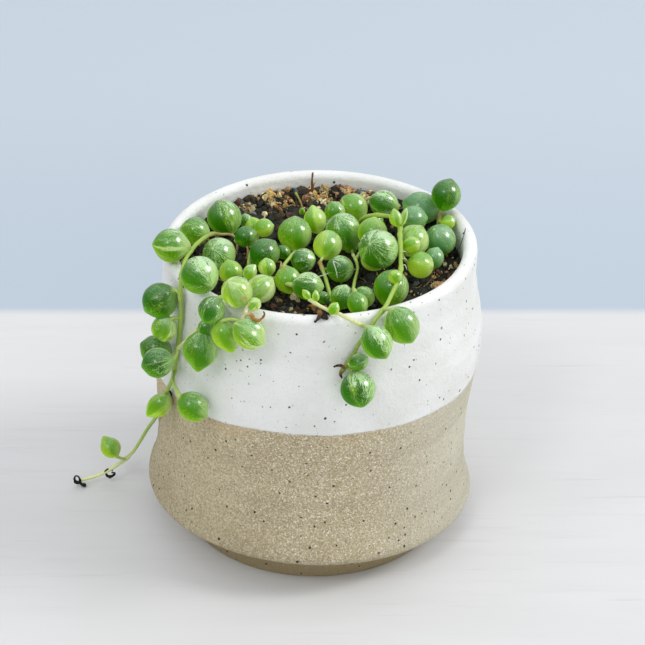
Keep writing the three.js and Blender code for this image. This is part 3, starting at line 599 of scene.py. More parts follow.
LEAVES = {
    "left_long": [
        ((-35.5, -11.5, 85.6), 8.5, 9.1, (-1, 0, 0.05), "striped", (0, 0.3, 0.9), 0.02, 0.09),
        ((-30.5, 4.5, 80.8), 7.2, 8, (-0.9, 0.3, 0.1), "green", (-0.5, 0.8, 0.2)),
        ((-23.5, 14.5, 79.3), 9.1, 9.8, (-0.4, 0.6, 0.7), "plain", (-0.6, 0.3, 0.7)),
        ((-27.5, -27, 86), 9.2, 9.8, (0.6, -0.8, -0.1), "silver", (-0.5, 0, 0.85), 0.03),
        ((-38, -21, 75.3), 8.8, 9.6, (-0.8, -0.1, -0.6), "deep", (-0.2, 0.6, 0.7), 0.03),
        ((-37, -23.5, 68.8), 6.5, 7.2, (-0.5, 0.1, -0.85), "milky", (0.25, 0.3, 0.9), 0.2),
        ((-39.5, -22, 61.5), 7.8, 8.3, (-0.9, 0.2, 0.3), "deep", (0, 1, 0)),
        ((-38.5, -29.6, 62.6), 7.6, 8.2, (-0.95, -0.1, -0.2), "mottled", (0, 0.6, 0.7), 0.04),
        ((-27.5, -34.5, 69.4), 8.6, 9.6, (-0.15, -0.3, -0.94), "green", (0.3, 0.1, 0.9), 0.03, 0.055, None, 0.65),
        ((-39.3, -22.5, 45.3), 5.6, 8.6, (-0.7, 0, -0.7), "soft", (0.3, 0.4, 0.8), 0.05),
        ((-29.8, -35.3, 53.4), 7.4, 8.7, (0.75, -0.1, -0.6), "green", (0.1, 0.1, 1), 0.04),
        ((-56, 5.5, 12.5), 5.6, 6.7, (-0.55, 0.35, 0.75), "soft", (0.2, 0.4, 0.8), 0.05, 0.055, None, 0.9),
        ((-26, -32.5, 74.5), 4.2, 4.8, (0.2, 0, 1), "silver", (0, 0, 1)),
    ],
    "left_back": [
        ((-12.5, -3, 78.5), 7.6, 8.2, (0.6, 0.2, 0.7), "deep", (-0.3, 0.6, 0.7), 0.03),
        ((-17.6, 5.4, 78.7), 5.4, 6.2, (0.9, 0.2, 0.3), "deep", (0.3, 0.6, 0.6)),
        ((-13, 9.5, 79), 4.9, 5.4, (0.95, 0, 0.3), "lime", (-0.5, 0.3, 0.8), 0.05),
        ((-15.8, 13.8, 77), 4.7, 5.3, (-0.2, 0.3, 0.9), "lime", (0, 0.3, 0.8)),
        ((-18, 18, 76.5), 3.5, 4, (-0.3, 0.5, 0.8), "silver", (0, 0.3, 0.8)),
    ],
    "left_front": [
        ((-24, -4.5, 79), 8.6, 9.2, (-0.3, -0.6, 0.7), "silver", (0.5, 0.2, 0.8), 0.03),
        ((-20.8, -11.7, 78), 6, 6.6, (-0.3, 0.3, 0.9), "soft", (0, 0.2, 0.9)),
        ((-15.9, -15, 80), 3.4, 4.4, (0.6, 0.2, 0.75), "cream", (0, 0.2, 0.9), 0.1),
        ((-13, -20.3, 78.3), 7.1, 7.7, (0.7, 0.2, 0.6), "cream", (0.2, 0.1, 0.9), 0.04),
        ((-18.3, -33.8, 85.3), 7.6, 8.2, (-0.5, -0.2, 0.85), "cream", (-0.2, 0, 1), 0.04, 0.055,
            (0.5, -0.45, 0.75, 0.22)),
        ((-14.1, -36.3, 83.4), 3.2, 3.8, (0.5, -0.4, 0.7), "cream", (0, 0, 1)),
        ((-24.4, -35, 81), 6.5, 7.1, (-0.5, -0.4, -0.7), "mottled", (0.2, 0.2, 0.9), 0.05),
        ((-21.2, -37.5, 75.6), 6.4, 8.8, (0.35, -0.2, -0.9), "soft", (0.2, 0, 0.9), 0.04),
        ((-15.3, -41, 78), 7.4, 8.8, (0.8, -0.2, -0.55), "milky", (-0.1, 0.5, 0.8), 0.14),
    ],
    "centre_left": [
        ((-11.8, -9.5, 78.2), 4.4, 4.8, (-0.15, 0.5, 0.85), "fresh", (0.3, 0, 0.9)),
        ((-5, 6, 79.2), 8.7, 9.3, (0, 0.7, 0.7), "bright", (0.2, 0.9, 0.2), 0),
        ((-7.8, 0.3, 77), 3.6, 4.1, (-0.5, 0.2, 0.8), "deep", (0, 0.2, 0.9)),
        ((-2.7, -5.2, 77.8), 6.1, 6.7, (0.8, -0.3, 0.3), "mottled", (0, 0.4, 0.8), 0.06),
        ((-6.5, -15.5, 78), 6.5, 7.3, (0.2, -0.6, -0.7), "soft", (0, 0.7, 0.5), 0.02, 0.055, (-0.3, 0.9, 0.4, 0.25)),
        ((-1.5, -20.5, 79.2), 6.9, 8, (1, -0.1, 0), "silver", (-0.8, -0.2, 0.5), 0.04),
    ],
    "centre": [
        ((3.4, -1, 79.8), 7.2, 8.7, (0.3, 0.85, 0.4), "fresh", (0.5, 0.2, 0.8), 0.03),
        ((6.5, -10.5, 78.3), 6.8, 7.5, (0.8, -0.4, 0.3), "mottled", (-0.2, 0.2, 0.9), 0.04),
        ((2.4, -24.1, 78), 3, 3.6, (-0.4, -0.5, 0.7), "deep", (0, 0, 1)),
    ],
    "back": [
        ((0.2, 12.6, 79.6), 5.9, 7.6, (-0.2, 0.5, 0.85), "fresh", (-0.6, 0.1, 0.8), 0.03),
        ((5.4, 17.3, 79.5), 5.5, 6.1, (-0.4, 0.3, 0.85), "green", (0, 0.2, 0.9), 0.04),
        ((10.3, 21.7, 78.5), 7.4, 8, (-0.7, 0.4, 0.5), "soft", (0.2, 0.2, 0.9)),
        ((18.4, 24, 78.4), 7.2, 8.4, (-0.9, 0.3, 0.2), "silver", (-0.3, 0, 0.9), 0.03),
        ((15.7, 14.5, 78), 4.4, 5.2, (0.8, 0, 0.5), "deep", (0, 0, 1)),
    ],
    "front_centre": [
        ((7.4, 6.2, 80), 9.2, 9.8, (-0.35, -0.1, 0.93), "silver", (0.45, -0.5, 0.75), 0.1, 0.35),
        ((6.9, -25.5, 79), 5.9, 6.4, (0.3, 0.2, 0.9), "silver", (0.1, 0.1, 0.9), 0.14),
        ((10.6, -31, 80.4), 5.1, 6.8, (0.2, -0.6, -0.75), "bright", (-0.3, 0.2, 0.9), 0.04),
        ((12.2, -23.6, 77.8), 5.4, 6, (0.5, -0.4, 0.6), "green", (0, 0.3, 0.9), 0.04),
        ((14.9, -4.2, 77.6), 6.2, 6.8, (0.5, -0.5, -0.5), "soft", (0, 0, 1)),
    ],
    "front_right": [
        ((16, -10.6, 84), 9.9, 10.5, (-0.415, -0.65, 0.64), "silver", (-0.3, -0.8, 0.4), 0.03),
        ((14.9, 2.2, 81.6), 7.7, 8.3, (0.1, 0.2, 0.97), "soft", (-0.3, 0.2, 0.9)),
        ((19, -21.1, 79), 8.8, 9.4, (-0.4, -0.6, -0.6), "green", (-0.3, 0.3, 0.9), 0.04),
        ((19.8, -24.8, 84.2), 3.4, 4, (-0.6, -0.3, 0.7), "lime", (0, 0, 1)),
        ((25.2, -0.6, 80.9), 8, 8.7, (0.5, 0.5, 0.7), "cream", (0.2, 0.6, 0.7)),
        ((24.5, -6.8, 83.1), 4.2, 4.9, (0.8, -0.2, 0.5), "lime", (-0.2, 0.2, 0.9)),
        ((26.6, -11, 79.7), 6.6, 7.3, (0.8, -0.5, 0.2), "lime", (0.2, 0.6, 0.6), 0.03),
        ((21, -40, 79.8), 8.3, 10, (0.5, -0.2, -0.85), "striped", (0.15, 0.15, 0.9), 0.05),
        ((14.9, -45.2, 78.3), 7.4, 9, (0.5, -0.3, -0.8), "silver", (-0.5, 0.2, 0.8), 0.05),
        ((10.8, -42, 70.8), 4.2, 5, (0.9, 0.2, 0.35), "mottled", (0, 0.4, 0.8), 0.05),
        ((10.6, -45, 65), 8.6, 9.2, (0.22, -0.75, -0.62), "mottled", (-0.5, -0.7, 0.5), 0.04),
        ((4.8, -38.2, 83.3), 2.7, 3.4, (0.5, 0.2, 0.85), "lime", (0, 0, 1), 0.1),
        ((-1.7, -33.4, 84.3), 1.9, 2.9, (-0.6, 0.2, 0.75), "fresh", (0, 0, 1), 0.05),
        ((0.5, -34.2, 84.3), 1.8, 2.9, (0, 0.3, 0.95), "fresh", (0, 0, 1), 0.05),
        ((20.6, -0.8, 87.3), 3.3, 4.8, (-0.2, 0.3, 0.9), "fresh", (0.2, 0, 1), 0.1),
        ((22.7, -0.6, 87.6), 1.6, 4.6, (0.25, 0.3, 0.9), "cream", (0, 0, 1), 0.05),
    ],
    "right": [
        ((34.1, 14, 86.3), 7.8, 8.8, (0.3, 0.4, 0.87), "deep", (-0.3, 0.3, 0.8), 0),
        ((27.8, 17, 80.8), 8.6, 10.2, (-0.9, 0.3, 0.2), "blue", (0, 0.3, 0.8)),
        ((25.5, 8.9, 82), 6.8, 7.6, (0.95, -0.1, 0.1), "blue", (0, 0.6, 0.7), 0.03),
        ((34.5, 9, 81), 3.7, 4.2, (0.6, -0.4, 0.3), "lime", (0, 0.5, 0.7), 0.05),
        ((32.3, 3.5, 78.8), 8.1, 8.7, (-0.4, -0.3, 0.85), "blue", (-0.4, 0.2, 0.8)),
        ((30.3, -5.2, 78.4), 5, 5.8, (0.35, 0.4, 0.85), "blue", (0, 0.3, 0.8), 0.04),
    ],
}
TO_RIGHT = np.array([1, 0, 0])
TO_TOP = np.array([0, math.sin(CAMERA_DOWN), math.cos(CAMERA_DOWN)])
TO_CAMERA = np.array([0, -math.cos(CAMERA_DOWN), math.sin(CAMERA_DOWN)])

# %% The surface of one pearl
LEAF_ROWS = 34
LEAF_COLUMNS = 40


def unit(v):
    """A vector divided by its length."""
    return np.asarray(v, float) / np.linalg.norm(v)


def pearl(middle, width, length, tip, look, window, fold=0.02, neck=0.055, mark=None, taper=0):
    """One leaf as a grid: t from base (0) to tip (pi), closer at both ends, a round it, with a = 0 at the window.

    Along the axis a point lies at -(body / 2) cos t, pulled out at the tip by a power of (1 - cos t) / 2: a high
    power makes a small nub on a round leaf, a lower one a longer point on a long leaf, or with a taper above 0.
    The neck is made the same way. The distance from the axis is (width / 2) sin t, less a shallow fold at the
    window, with long waves so that no two leaves match. A mark is a direction, as for the window, and a width in
    radians."""
    axis = unit(tip)
    seen = np.stack([TO_RIGHT, TO_TOP, TO_CAMERA])
    to_window = unit(window @ seen)
    out = unit(to_window - axis * (to_window @ axis) + 1e-6)
    side = np.cross(axis, out)
    s = np.linspace(0, 1, LEAF_ROWS)[:, None]
    t = math.pi * (0.5 * s + 0.25 * (1 - np.cos(math.pi * s)))
    a = around(LEAF_COLUMNS)
    from_window = np.abs((a + math.pi) % (2 * math.pi) - math.pi)
    taper = max(taper, soft_step(1.17, 1.4, length / width))
    point = (0.05 + 0.15 * taper) * width
    body = max(width, length - point - 0.05 * width)
    along = -body / 2 * np.cos(t) + point * ((1 - np.cos(t)) / 2) ** (60 - 44 * taper)
    along = along - neck * width * ((1 + np.cos(t)) / 2) ** (30 if neck < 0.1 else 14) + 0 * a
    seed = rng.uniform(0, 1, 4)
    waves = 0.012 * np.sin(2 * a + 6.3 * seed[0]) + 0.01 * np.sin(3 * a + 2 * t + 6.3 * seed[1])
    dent = fold * np.exp(-((from_window / 0.42) ** 2)) - 0.25 * fold * np.exp(-(((from_window - 0.8) / 0.35) ** 2))
    across = width / 2 * np.sin(t) * (1 + waves - dent)
    direction = np.cos(a)[..., None] * out + np.sin(a)[..., None] * side
    points = middle + along[..., None] * axis + across[..., None] * direction
    outward = np.sin(t)[..., None] * direction - (np.cos(t) + 0 * a)[..., None] * axis
    marked = 0 * along
    if mark:
        marked = np.clip(1.3 - np.arccos(np.clip(outward @ unit(mark[:3] @ seen), -1, 1)) / mark[3], 0, 1)
    a, t = a + 0 * t, t + 0 * a
    skin = np.stack([np.cos(a), np.sin(a), t], -1) + 20 * seed[:3]
    where = np.stack([from_window / math.pi * (0.6 + 0.7 * seed[1]) + 0 * t, t / math.pi, marked], -1)
    colour = np.clip(np.array(LOOKS[look]) + (0.16 * (seed[3] - 0.5), 0.2 * (seed[0] - 0.5), 0, 0), 0, 1)[None]
    skin, where, outward = (values.reshape(-1, 3) for values in (skin, where, outward))
    return grid_part(points, skin=skin, leaf=where, facing=outward, look=colour)


# %% The pearls' skin
def pearl_skin():
    """Green by tone, then each layer by its mask: where the noises and the look's share add up to enough."""
    material, place = new_material(
        "pearl_skin", Specular_IOR_Level=0.1, Coat_Roughness=0.21, Coat_IOR=1.52, Emission_Strength=1,
        Sheen_Weight=0.2, Sheen_Roughness=0.3, Sheen_Tint=(0.8, 1, 0.35, 1),
        Subsurface_Weight=0.3, Subsurface_Radius=(0.6, 1, 0.1), Subsurface_Scale=0.003,
    )
    skin, facing, bloom = place.read("skin"), place.read("facing"), place.read("look", "Alpha")
    aside, along, mark = place.read("leaf").parts()
    tone, silver, cream = place.read("look").parts()
    # up leans from straight up towards the main lamp at the right, and right faces that lamp; the painted light and
    # sheen below follow them.
    up, right = facing.toward(unit((0.35, -0.05, 0.93))), facing.toward(unit((0.92, -0.3, 0.1)))
    behind = facing.toward(unit((-0.5, 0.86, 0.05)))
    streaks, patches = skin.noise((10, 10, 1.3), 3, 0.65) - 0.5, skin.noise((2.2, 2.2, 0.9)) - 0.5
    bands, flecks = skin.noise((1.7, 1.7, 0.22), 1) - 0.5, skin.noise((17, 17, 9), 2, 0.6) - 0.5
    web, dots = abs(skin.noise((6, 6, 3), 2, 0.6) - 0.5).step(0.06, 0.01), skin.noise((15, 15, 12), 1)
    swell = (along * (1 - along)).step(0.02, 0.2)
    window, edge = aside.step(0.19, 0.1) * swell, abs(aside - 0.21).step(0.045, 0) * swell
    edge = edge * bands.step(-0.05, 0.15) * streaks.step(-0.1, 0.1) * (silver + cream).step(0.2, 0.8)
    creamy = (bands * 1.6 + patches + streaks * 0.7 + (cream - 0.5) * 0.9).step(0, 0.22) * cream.step(0, 0.4)
    lit = up.math("MAXIMUM", up.math("MAXIMUM", up, right * 0.9), behind * 0.95)
    streaky = streaks * 2.4 + patches * 1.7 + flecks * 1.2 + (web - 0.35) * 0.4
    # Partly painted sheen: the silver streaks are the leaf's own, but they are painted denser where the leaf is lit
    # and fade on the underside.
    silver_and_lit_sheen = (streaky * 1.2 + (silver - 0.75) * 0.9 + (lit - 0.62) * 0.9).step(0, 0.2) * silver.step(0, 0.3)
    dark = (flecks * 1.2 + streaks * 1.6 - 0.05).step(0, 0.3) * silver.step(0.1, 0.6) * up.step(-0.2, 0.5)
    # Partly painted reflection: a pale waxy sheen on the sides that face up and towards the lamp, for the leaf's bloom
    # and the bright sky it reflects.
    wax_and_sky_sheen = (up + flecks * 1.6 + streaks).step(0.58, 1.25) * (0.16 + 0.5 * bloom + 0.4 * silver)
    # Painted light: the side towards the lamp at the right is painted paler, for light glowing through the skin there.
    lit_right_rim = (right + streaks * 0.5).step(0.55, 1) * (0.4 + 0.4 * silver)
    colour = layered(
        tone.step(0, 0.5).blend((0.018, 0.115, 0.0005), (0.1, 0.29, 0.0005)),
        (tone.step(0.45, 1), (0.4, 0.6, 0.04)),
        ((patches * 1.2 + bands).step(0, 0.5) * 0.75, (0.28, 0.52, 0.01)),
        # Painted light: the lower halves are painted brighter and more lime, for light that shines through the leaf
        # and comes up off the table.
        (up.step(0.25, -0.7) * 0.7, tone.step(0, 0.8).blend((0.12, 0.44, 0.002), (0.46, 0.68, 0.03))),
        (creamy * 0.85, (0.66, 0.78, 0.36)),
        (dots.step(0.58, 0.68) * 0.4, (0.42, 0.66, 0.1)),
        (dots.step(0.44, 0.34) * (0.65 - 0.5 * tone), (0.016, 0.11, 0)),
        # Painted sheen: the silver is laid only on the upper, lit side.
        (silver_and_lit_sheen * up.step(-0.9, 0.3) * 0.85, (0.5, 0.72, 0.37)),
        (dark * (1 - silver_and_lit_sheen) * 0.8, (0.01, 0.085, 0.01)),
        (window * (1 - 0.5 * cream) * 0.85, tone.step(0, 0.9).blend((0.018, 0.15, 0), (0.11, 0.34, 0))),
        (edge * 0.5, (0.55, 0.7, 0.36)),
        (wax_and_sky_sheen, (0.56, 0.74, 0.48)),
        (lit_right_rim, tone.step(0, 0.8).blend((0.4, 0.66, 0.2), (0.68, 0.82, 0.34))),
        (bloom.step(0.3, 0.9) * up.step(-0.9, 0.6) * 0.55, (0.2, 0.42, 0.21)),
        (along.step(0.12, 0.02), (0.42, 0.58, 0.14)),
        (along.step(0.965, 0.99) * 0.6, (0.6, 0.68, 0.3)),
        (mark * flecks.step(-0.15, 0.1), (0.46, 0.2, 0.035)),
    )
    # Painted light: the lower halves give off a little of their own colour as emission, for light shining through the
    # leaf.
    glow = (up.step(0.5, -0.6) * (0.12 + 0.11 * tone)).blend((0, 0, 0), colour)
    shine = {"Emission Color": glow, "Coat Weight": up.step(0.05, 0.5)}
    roughness = 0.42 + 0.15 * bloom + 0.15 * streaks
    return feed(material, colour, roughness, streaks * 0.4 + flecks * 0.5, 0.00006, 0.6, **shine)


skin_material = pearl_skin()
for name, leaves in LEAVES.items():
    pearls = [pearl(*leaf) for leaf in leaves]
    make_piece(f"pearls_{name}", pearls, skin_material, [f"strand_{name}"])

# %% [markdown]
# ## The stems
# A stem is a thin round shoot that thickens a little at every leaf: a circle carried along a smooth line. To
# keep the circle from twisting, its first direction is square to the one that the line least follows.

# %% A tube along a line
def tube(line, radius, sides, tint):
    """A circle across the line's direction at each of its points, with a radius and a tint a point, closed ends."""
    tangent = np.gradient(line, axis=0)
    tangent /= np.linalg.norm(tangent, axis=1, keepdims=True)
    least = np.linalg.svd(tangent, full_matrices=True)[2][-1]
    across = np.cross(tangent, least)
    across /= np.linalg.norm(across, axis=1, keepdims=True)
    a = around(sides)[:, None]
    ring = np.cos(a) * across[:, None] + np.sin(a) * np.cross(tangent, across)[:, None]
    ring *= radius[:, None, None]
    line, tint = (np.concatenate([values[:1], values, values[-1:]]) for values in (line, tint))
    ring = np.concatenate([0 * ring[:1], ring, 0 * ring[-1:]])
    return grid_part(line[:, None] + ring, tint=np.repeat(tint, sides, 0))


# %% Stems and stalks
LEAF_GREEN = (0.34, 0.5, 0.07, 1)
PALE_GREEN = (0.68, 0.72, 0.34, 1)
WOODY = (0.36, 0.27, 0.11, 1)
STEM_TINTS = {
    "left_long": (WOODY, LEAF_GREEN, (0.76, 0.8, 0.4, 1)),
    "left_front": (WOODY, PALE_GREEN, (0.72, 0.66, 0.42, 1)),
    "front_right": (LEAF_GREEN, LEAF_GREEN, (0.2, 0.26, 0.05, 1)),
    "centre": (LEAF_GREEN, LEAF_GREEN, (0.36, 0.2, 0.06, 1)),
    "right": (WOODY, LEAF_GREEN, (0.3, 0.2, 0.08, 1)),
}


def along_line(line):
    """How far along a line each of its points lies, from 0 to 1."""
    steps = np.linalg.norm(np.diff(line, axis=0), axis=1)
    return np.concatenate([[0], np.cumsum(steps)]) / steps.sum()


def stem_tube(line, radius, tints_of, joints):
    """A stem: thin at the root, swollen by a third within a millimetre of each leaf stalk, tapered at the tip."""
    share = along_line(line)[:, None]
    first, middle, last = np.array(tints_of)
    colour = first + (middle - first) * soft_step(0.09, 0.2, share) + (last - middle) * soft_step(0.75, 1, share)
    near = np.linalg.norm(line[:, None] - joints, axis=-1).min(1)
    thick = radius * (1 + 0.35 * np.exp(-((near / 1.1) ** 2))) * (1 - 0.18 * share[:, 0])
    thick = thick * (0.6 + 0.4 * soft_step(0.06, 0.18, share[:, 0]))
    return tube(line, thick, 10, colour)


def stalk_tube(leaf, lines):
    """A leaf stalk: from inside the leaf's base to the nearest point of a stem, a little wider at both ends."""
    middle, width, length, tip = leaf[:4]
    axis = unit(tip)
    body = min(width, 0.94 * length)
    base = middle - axis * body * 0.5
    nodes = np.concatenate([line[np.argmax(line[:, 2] > SOIL_TOP + 1.2) :] for line in lines])
    foot = nodes[np.argmin(np.linalg.norm(nodes - base, axis=1))]
    reach = np.linalg.norm(foot - base)
    bend = base + (foot - base) * 0.4 - axis * 0.12 * reach
    line = smooth_line([base + axis * 0.14 * width, base, bend, foot], 6)
    share = along_line(line)
    slim = min(0.4, 0.19 * width)
    thick = slim + 0.05 * width * np.exp(-((share / 0.3) ** 2)) + 0.25 * slim * soft_step(0.8, 1, share)
    pale = np.array([0.46, 0.58, 0.16, 1])
    colour = pale + (LEAF_GREEN - pale) * soft_step(0.3, 1, share)[:, None]
    return tube(line, thick, 8, colour), foot


def tinted(name, grain, dark, pale, bump, rough=None, **constants):
    """The piece's own tint, with a dark and a pale colour where a noise is low and high: (from, to, share, colour)."""
    material, place = new_material(name, **constants)
    grain = place.noise(*grain)
    layers = [(grain.step(start, end) * share, colour) for start, end, share, colour in (dark, pale)]
    return feed(material, layered(place.read("tint", "Color"), *layers), rough and rough + 0.3 * grain, grain, *bump)


stem_skin = tinted(
    "stem_skin", (1.7, 3, 0.6), (0.45, 0.2, 0.3, (0.12, 0.17, 0.03)), (0.5, 0.8, 0.45, (0.6, 0.62, 0.34)),
    (0.0001, 0.5), Roughness=0.42, Subsurface_Weight=0.12, Subsurface_Radius=(0.6, 1, 0.2), Subsurface_Scale=0.001,
)
dry_skin = tinted(
    "dry_skin", ((2.2, 2.2, 0.9), 4, 0.7), (0.5, 0.25, 0.6, (0.02, 0.012, 0.008)),
    (0.55, 0.8, 0.35, (0.55, 0.42, 0.26)), (0.0002, 0.8), 0.6, Specular_IOR_Level=0.3,
)
for name, (radius, *routes) in STEMS.items():
    lines = [smooth_line(route, 10) for route in routes]
    stalks = [stalk_tube(leaf, lines) for leaf in LEAVES[name]]
    joints = np.array([foot for _, foot in stalks])
    tubes = [stem_tube(lines[0], radius, STEM_TINTS.get(name, (LEAF_GREEN, LEAF_GREEN, PALE_GREEN)), joints)]
    tubes += [stem_tube(line, 0.85 * radius, (LEAF_GREEN, PALE_GREEN, PALE_GREEN), joints) for line in lines[1:]]
    tubes += [stalk for stalk, _ in stalks]
    make_piece(f"stems_{name}", tubes, stem_skin, [f"strand_{name}"])

# %% [markdown]
# ## Dead twigs, dried tips and roots
# A plant also looks real by what has died on it: a brown twig and a wilted stalk in the soil, black curls where
# a shoot dried up on the table, a scrap of root over the rim. Stems also send thin white roots out into the air.
# All are tubes along short lines, whose radius and tint change from end to end.

# %% The dry twig and the wilted stalk
BARK = (0.2, 0.085, 0.035, 1)
DARK_BARK = (0.05, 0.028, 0.016, 1)
STRAW = (0.42, 0.3, 0.12, 1)
YELLOW_GREEN = (0.42, 0.44, 0.1, 1)
CHAR = (0.008, 0.007, 0.006, 1)
AMBER = (0.4, 0.19, 0.04, 1)
ROOT_WHITE = (0.62, 0.64, 0.5, 1)


def shred(route, radii, tints_of, sides=8):
    """A tube along a smooth line whose radius and tint run evenly through the values given, with small knots."""
    line = smooth_line(route, 8)
    share = along_line(line)
    thick = np.interp(share, np.linspace(0, 1, len(radii)), radii)
    thick = thick * (1 + 0.12 * np.sin(23 * share + len(route)) + 0.08 * np.sin(41 * share))
    stops = np.linspace(0, 1, len(tints_of))
    colour = np.stack([np.interp(share, stops, [t[i] for t in tints_of]) for i in range(4)], -1)
    return tube(line, thick, sides, colour)


TWIG_ROUTE = [(-0.6, 33.4, 68), (-0.6, 33.4, 77), (-0.7, 33.5, 80.2), (-0.5, 33.6, 82.7)]
SPUR_ROUTE = [(-0.6, 33.4, 78.4), (-0.1, 33.3, 79.4), (0.2, 33.2, 80)]
twig = shred(TWIG_ROUTE, (0.48, 0.5, 0.42, 0.2), (DARK_BARK, BARK, BARK))
spur = shred(SPUR_ROUTE, (0.25, 0.1), (BARK, STRAW), 6)
make_piece("twig", [twig, spur], dry_skin, ["twig_dry"])
STALK_ROUTE = [(-3, 26, 68), (-3, 26, 74.6), (-3.3, 25.8, 76.4), (-4, 26.4, 78.2), (-5.1, 27, 80.1)]
stalk = shred(STALK_ROUTE, (0.3, 0.26, 0.22, 0.3), (AMBER, AMBER, YELLOW_GREEN))
make_piece("stalk", [stalk], dry_skin, ["stalk_dry"])
bud = pearl((-3.3, 24.3, 75.9), 1.7, 2.4, (0, -0.4, 0.9), "soft", (0, 0, 1), 0.03)
make_piece("stalk_bud", [bud], skin_material, ["stalk_dry"])

# %% Dried tips, a scrap of root, a hair and white roots
TABLE_CURLS = [
    ([(-65.1, 5.3, 1.5), (-65.1, 4.8, 2.6), (-65.6, 4.7, 3.5), (-66.2, 4.6, 3.5), (-66.5, 4.6, 2.6), (-66.2, 4.7, 1.5),
        (-65.5, 5, 1)], (0.36, 0.27, 0.22, 0.25, 0.48, 0.52)),
    ([(-65.2, 5, 1.1), (-64.3, 4.4, 0.8), (-63.4, 4.3, 0.7)], (0.5, 0.35, 0.6, 0.45)),
    ([(-58.3, 6.2, 3.9), (-57.7, 6.5, 4.3), (-57, 6.7, 4.4), (-56, 6.4, 4.1)], (0.16, 0.3, 0.22)),
    ([(-58, 6.6, 3.2), (-57.6, 6.4, 2.4), (-56.8, 6.4, 2.1), (-55.9, 6.5, 2.5), (-55.4, 6.4, 3.3), (-56.4, 6.4, 3.5)],
        (0.25, 0.42, 0.48, 0.36, 0.22, 0.18)),
    ([(-36.6, -22, 49.4), (-36.2, -22.6, 48.8), (-36, -22.8, 48.2)], (0.2, 0.32, 0.15)),
]
ORANGE_CURL = [(-16.4, -39, 82.2), (-14.8, -39.8, 82.6), (-14.1, -40.9, 82.1), (-13.1, -41.3, 81.9),
    (-12.2, -41.3, 82.5), (-11.6, -41, 83.4), (-11.8, -40.6, 84)]
FORK = [
    [(7.3, -41.8, 68.9), (6.6, -42.2, 69.8), (5.6, -42.5, 70), (4.8, -42.4, 69.6)],
    [(6.6, -41.9, 68), (6.4, -42.3, 67.4), (6.8, -42.6, 66.5)],
]
ROOT_SCRAP = [
    ([(-1.5, -23.7, 75.2), (-0.5, -27.4, 77.6), (0.5, -31.6, 79.5), (1.5, -35.5, 80.9), (2.5, -38, 81.5),
        (3.2, -39.5, 81.3)], (0.3, 0.45, 0.6, 0.45)),
    ([(1.2, -35.2, 80.9), (1.6, -38, 81.5), (1, -39.6, 81.3), (0.2, -40.3, 80.8)], (0.5, 0.7, 0.5, 0.25)),
    ([(2.3, -24, 75.5), (2.9, -29.8, 79), (3.3, -35.1, 80.9), (3.7, -38.4, 81.5)], (0.16, 0.22, 0.12)),
    ([(-0.6, -30, 78.4), (1, -34, 80.2), (2.9, -37, 81.5), (2.3, -39.4, 81.4)], (0.2, 0.5, 0.4)),
]
HAIR = [(38.8, 5.6, 81.1), (38, 1.8, 80.7), (36.8, -1.5, 79.3), (35.3, -1.4, 77.7), (33.6, -0.3, 75.6)]
WHITE_ROOTS = [
    [(4.7, -13.2, 82), (5.4, -14.9, 80.5), (5.8, -16.3, 79)],
    [(4.7, -13.2, 82), (5.7, -13.6, 81.8), (6.6, -14.2, 81.3)],
    [(0.7, -14.6, 78.3), (2.5, -14.1, 78.6), (4.5, -11.9, 78.2)],
    [(21.5, -14, 83), (22.5, -14.6, 83.6), (23.1, -14.4, 83)],
    [(21.4, -17.6, 83), (22.3, -17.6, 83.5), (22.9, -18.6, 82.6)],
    [(21.5, -11.2, 83.4), (22.4, -11.6, 83.9), (23, -10.9, 83.2)],
]
DRY_STEMS = [
    [(-22.2, 9.5, 75.4), (-20.9, 4.7, 76.4), (-19.8, 1.6, 75.6)],
    [(-19.2, 7.7, 76), (-17.8, 5.1, 76.8), (-17, 1.1, 76.8), (-17.4, -1.7, 76)],
    [(-9.9, -4, 76.2), (-8.3, -7.4, 78.3), (-9.4, -13.5, 76.6)],
]
bits = [shred(route, radii, (CHAR,)) for route, radii in TABLE_CURLS]
bits += [shred(ORANGE_CURL, (0.5, 0.5, 0.4, 0.3, 0.2), (PALE_GREEN, AMBER, AMBER, DARK_BARK))]
bits += [shred(route, (0.4, 0.36, 0.2), (AMBER, DARK_BARK, CHAR)) for route in FORK]
make_piece("dried_tips", bits, dry_skin)
scraps = [shred(route, radii, (DARK_BARK, AMBER, DARK_BARK, CHAR)) for route, radii in ROOT_SCRAP]
scraps += [shred(HAIR, (0.09, 0.1, 0.08), (CHAR,), 5)]
scraps += [shred(route, (0.2, 0.25, 0.2), (BARK, STRAW, BARK), 6) for route in DRY_STEMS]
make_piece("root_scraps", scraps, dry_skin)
roots = [shred(route, (0.13, 0.11, 0.05), (ROOT_WHITE,), 6) for route in WHITE_ROOTS]
make_piece("white_roots", roots, stem_skin)

# %% [markdown]
# ## Table and light
# The pot stands on a white-washed table in front of a grey-blue wall, far out of focus. One flat floor stands
# for both. The light is a broad pale sky, with soft windows; the one at the right draws the long soft shadow.

# %% Table, window and sky
TABLE_EDGE = 98.9


def table_material():
    """White-washed wood with long grey streaks, and the grey-blue wall behind the table's edge."""
    material, place = new_material("table_paint", Roughness=0.6, Specular_IOR_Level=0.3)
    clouds, north = place.noise((0.008, 0.03, 1), 4, 0.6), place.parts()[1]
    grain, lines = place.noise((0.02, 0.3, 1), 4, 0.65, 0.3), place.noise((0.018, 0.42, 1), 4, 0.7, 0.6)
    far = north.step(TABLE_EDGE, TABLE_EDGE + 180)
    colour = layered(
        clouds.step(0.3, 0.7).blend((0.665, 0.665, 0.665), (0.7, 0.7, 0.705)),
        (grain.step(0.48, 0.75) * clouds.step(0.35, 0.7) * 0.5, (0.575, 0.57, 0.555)),
        (lines.step(0.6, 0.8) * 0.55, (0.46, 0.45, 0.44)),
        (north.step(TABLE_EDGE - 3, TABLE_EDGE + 3), far.blend((0.46, 0.525, 0.6), (0.515, 0.58, 0.64))),
    )
    return feed(material, colour)


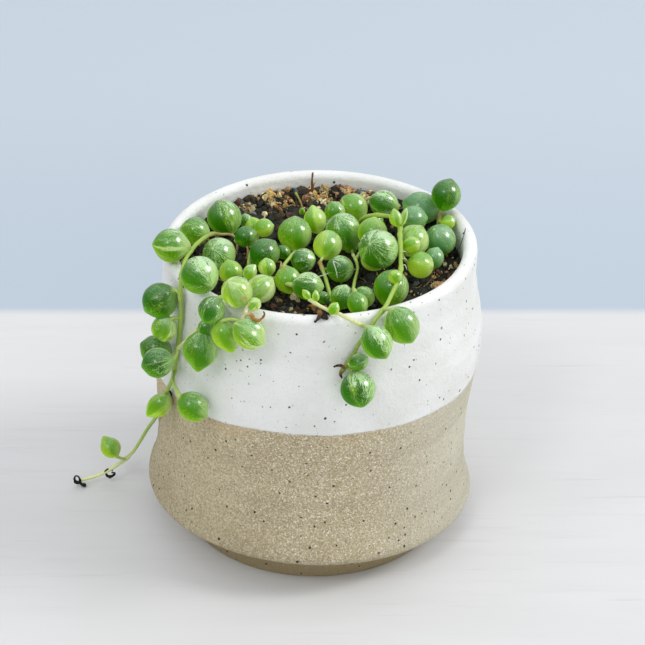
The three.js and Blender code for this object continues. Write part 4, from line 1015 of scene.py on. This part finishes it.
def make_floor(side=3):
    """A square floor of twice this side, in metres."""
    mesh = bpy.data.meshes.new("floor")
    mesh.from_pydata([(-side, -side, 0), (side, -side, 0), (side, side, 0), (-side, side, 0)], [], [(0, 1, 2, 3)])
    mesh.materials.append(table_material())
    floor = bpy.data.objects.new("floor", mesh)
    bpy.context.scene.collection.objects.link(floor)


def add_window(name, direction, distance, size, power, colour, shines=True, lights=True):
    """A square soft light that faces the pot. Without shines it shows in no highlight, without lights only there."""
    light = bpy.data.lights.new(name, "AREA")
    light.size, light.energy, light.color = size, power, colour
    lamp = bpy.data.objects.new(name, light)
    ray = unit(direction)
    lamp.location = ray * distance + (0, 0, 0.04)
    lamp.rotation_euler = (0, math.acos(ray[2]), math.atan2(ray[1], ray[0]))
    lamp.visible_glossy, lamp.visible_diffuse = shines, lights
    bpy.context.scene.collection.objects.link(lamp)


def make_sky():
    """A pale studio: brighter overhead than at the horizon, and dimmer low down on the camera's side."""
    bpy.context.scene.world = world = bpy.data.worlds.new("sky")
    world.use_nodes = True
    tree = world.node_tree
    direction = Link(tree, tree.nodes.new("ShaderNodeTexCoord").outputs["Generated"])
    _, north, up = direction.parts()
    light = up.step(-0.1, 0.9).blend((0.5, 0.52, 0.55), (1.15, 1.18, 1.22))
    light = (north.step(-0.1, -0.8) * up.step(0.85, 0.3) * 0.75).blend(light, (0.1, 0.105, 0.11))
    background = tree.nodes["Background"]
    tree.links.new(light.socket, background.inputs["Color"])
    background.inputs["Strength"].default_value = 0.8


make_floor()
make_sky()
add_window("window_right", (0.74, -0.05, 0.67), 2.5, 0.75, 23, (1, 0.99, 0.97))
add_window("window_front", (-0.33, -0.53, 0.77), 2.5, 0.5, 8, (0.97, 0.99, 1))
add_window("screen_front", (0.3, -1, 0.4), 2.5, 1.2, 9, (1, 1, 1), False)
add_window("screen_left", (-0.8, -0.35, 0.55), 2.5, 1.2, 6, (1, 1, 1), False)
add_window("glint_right", (0.74, -0.05, 0.67), 2.45, 0.95, 42, (1, 1, 1), True, False)
bpy.context.scene.view_settings.view_transform = "Standard"
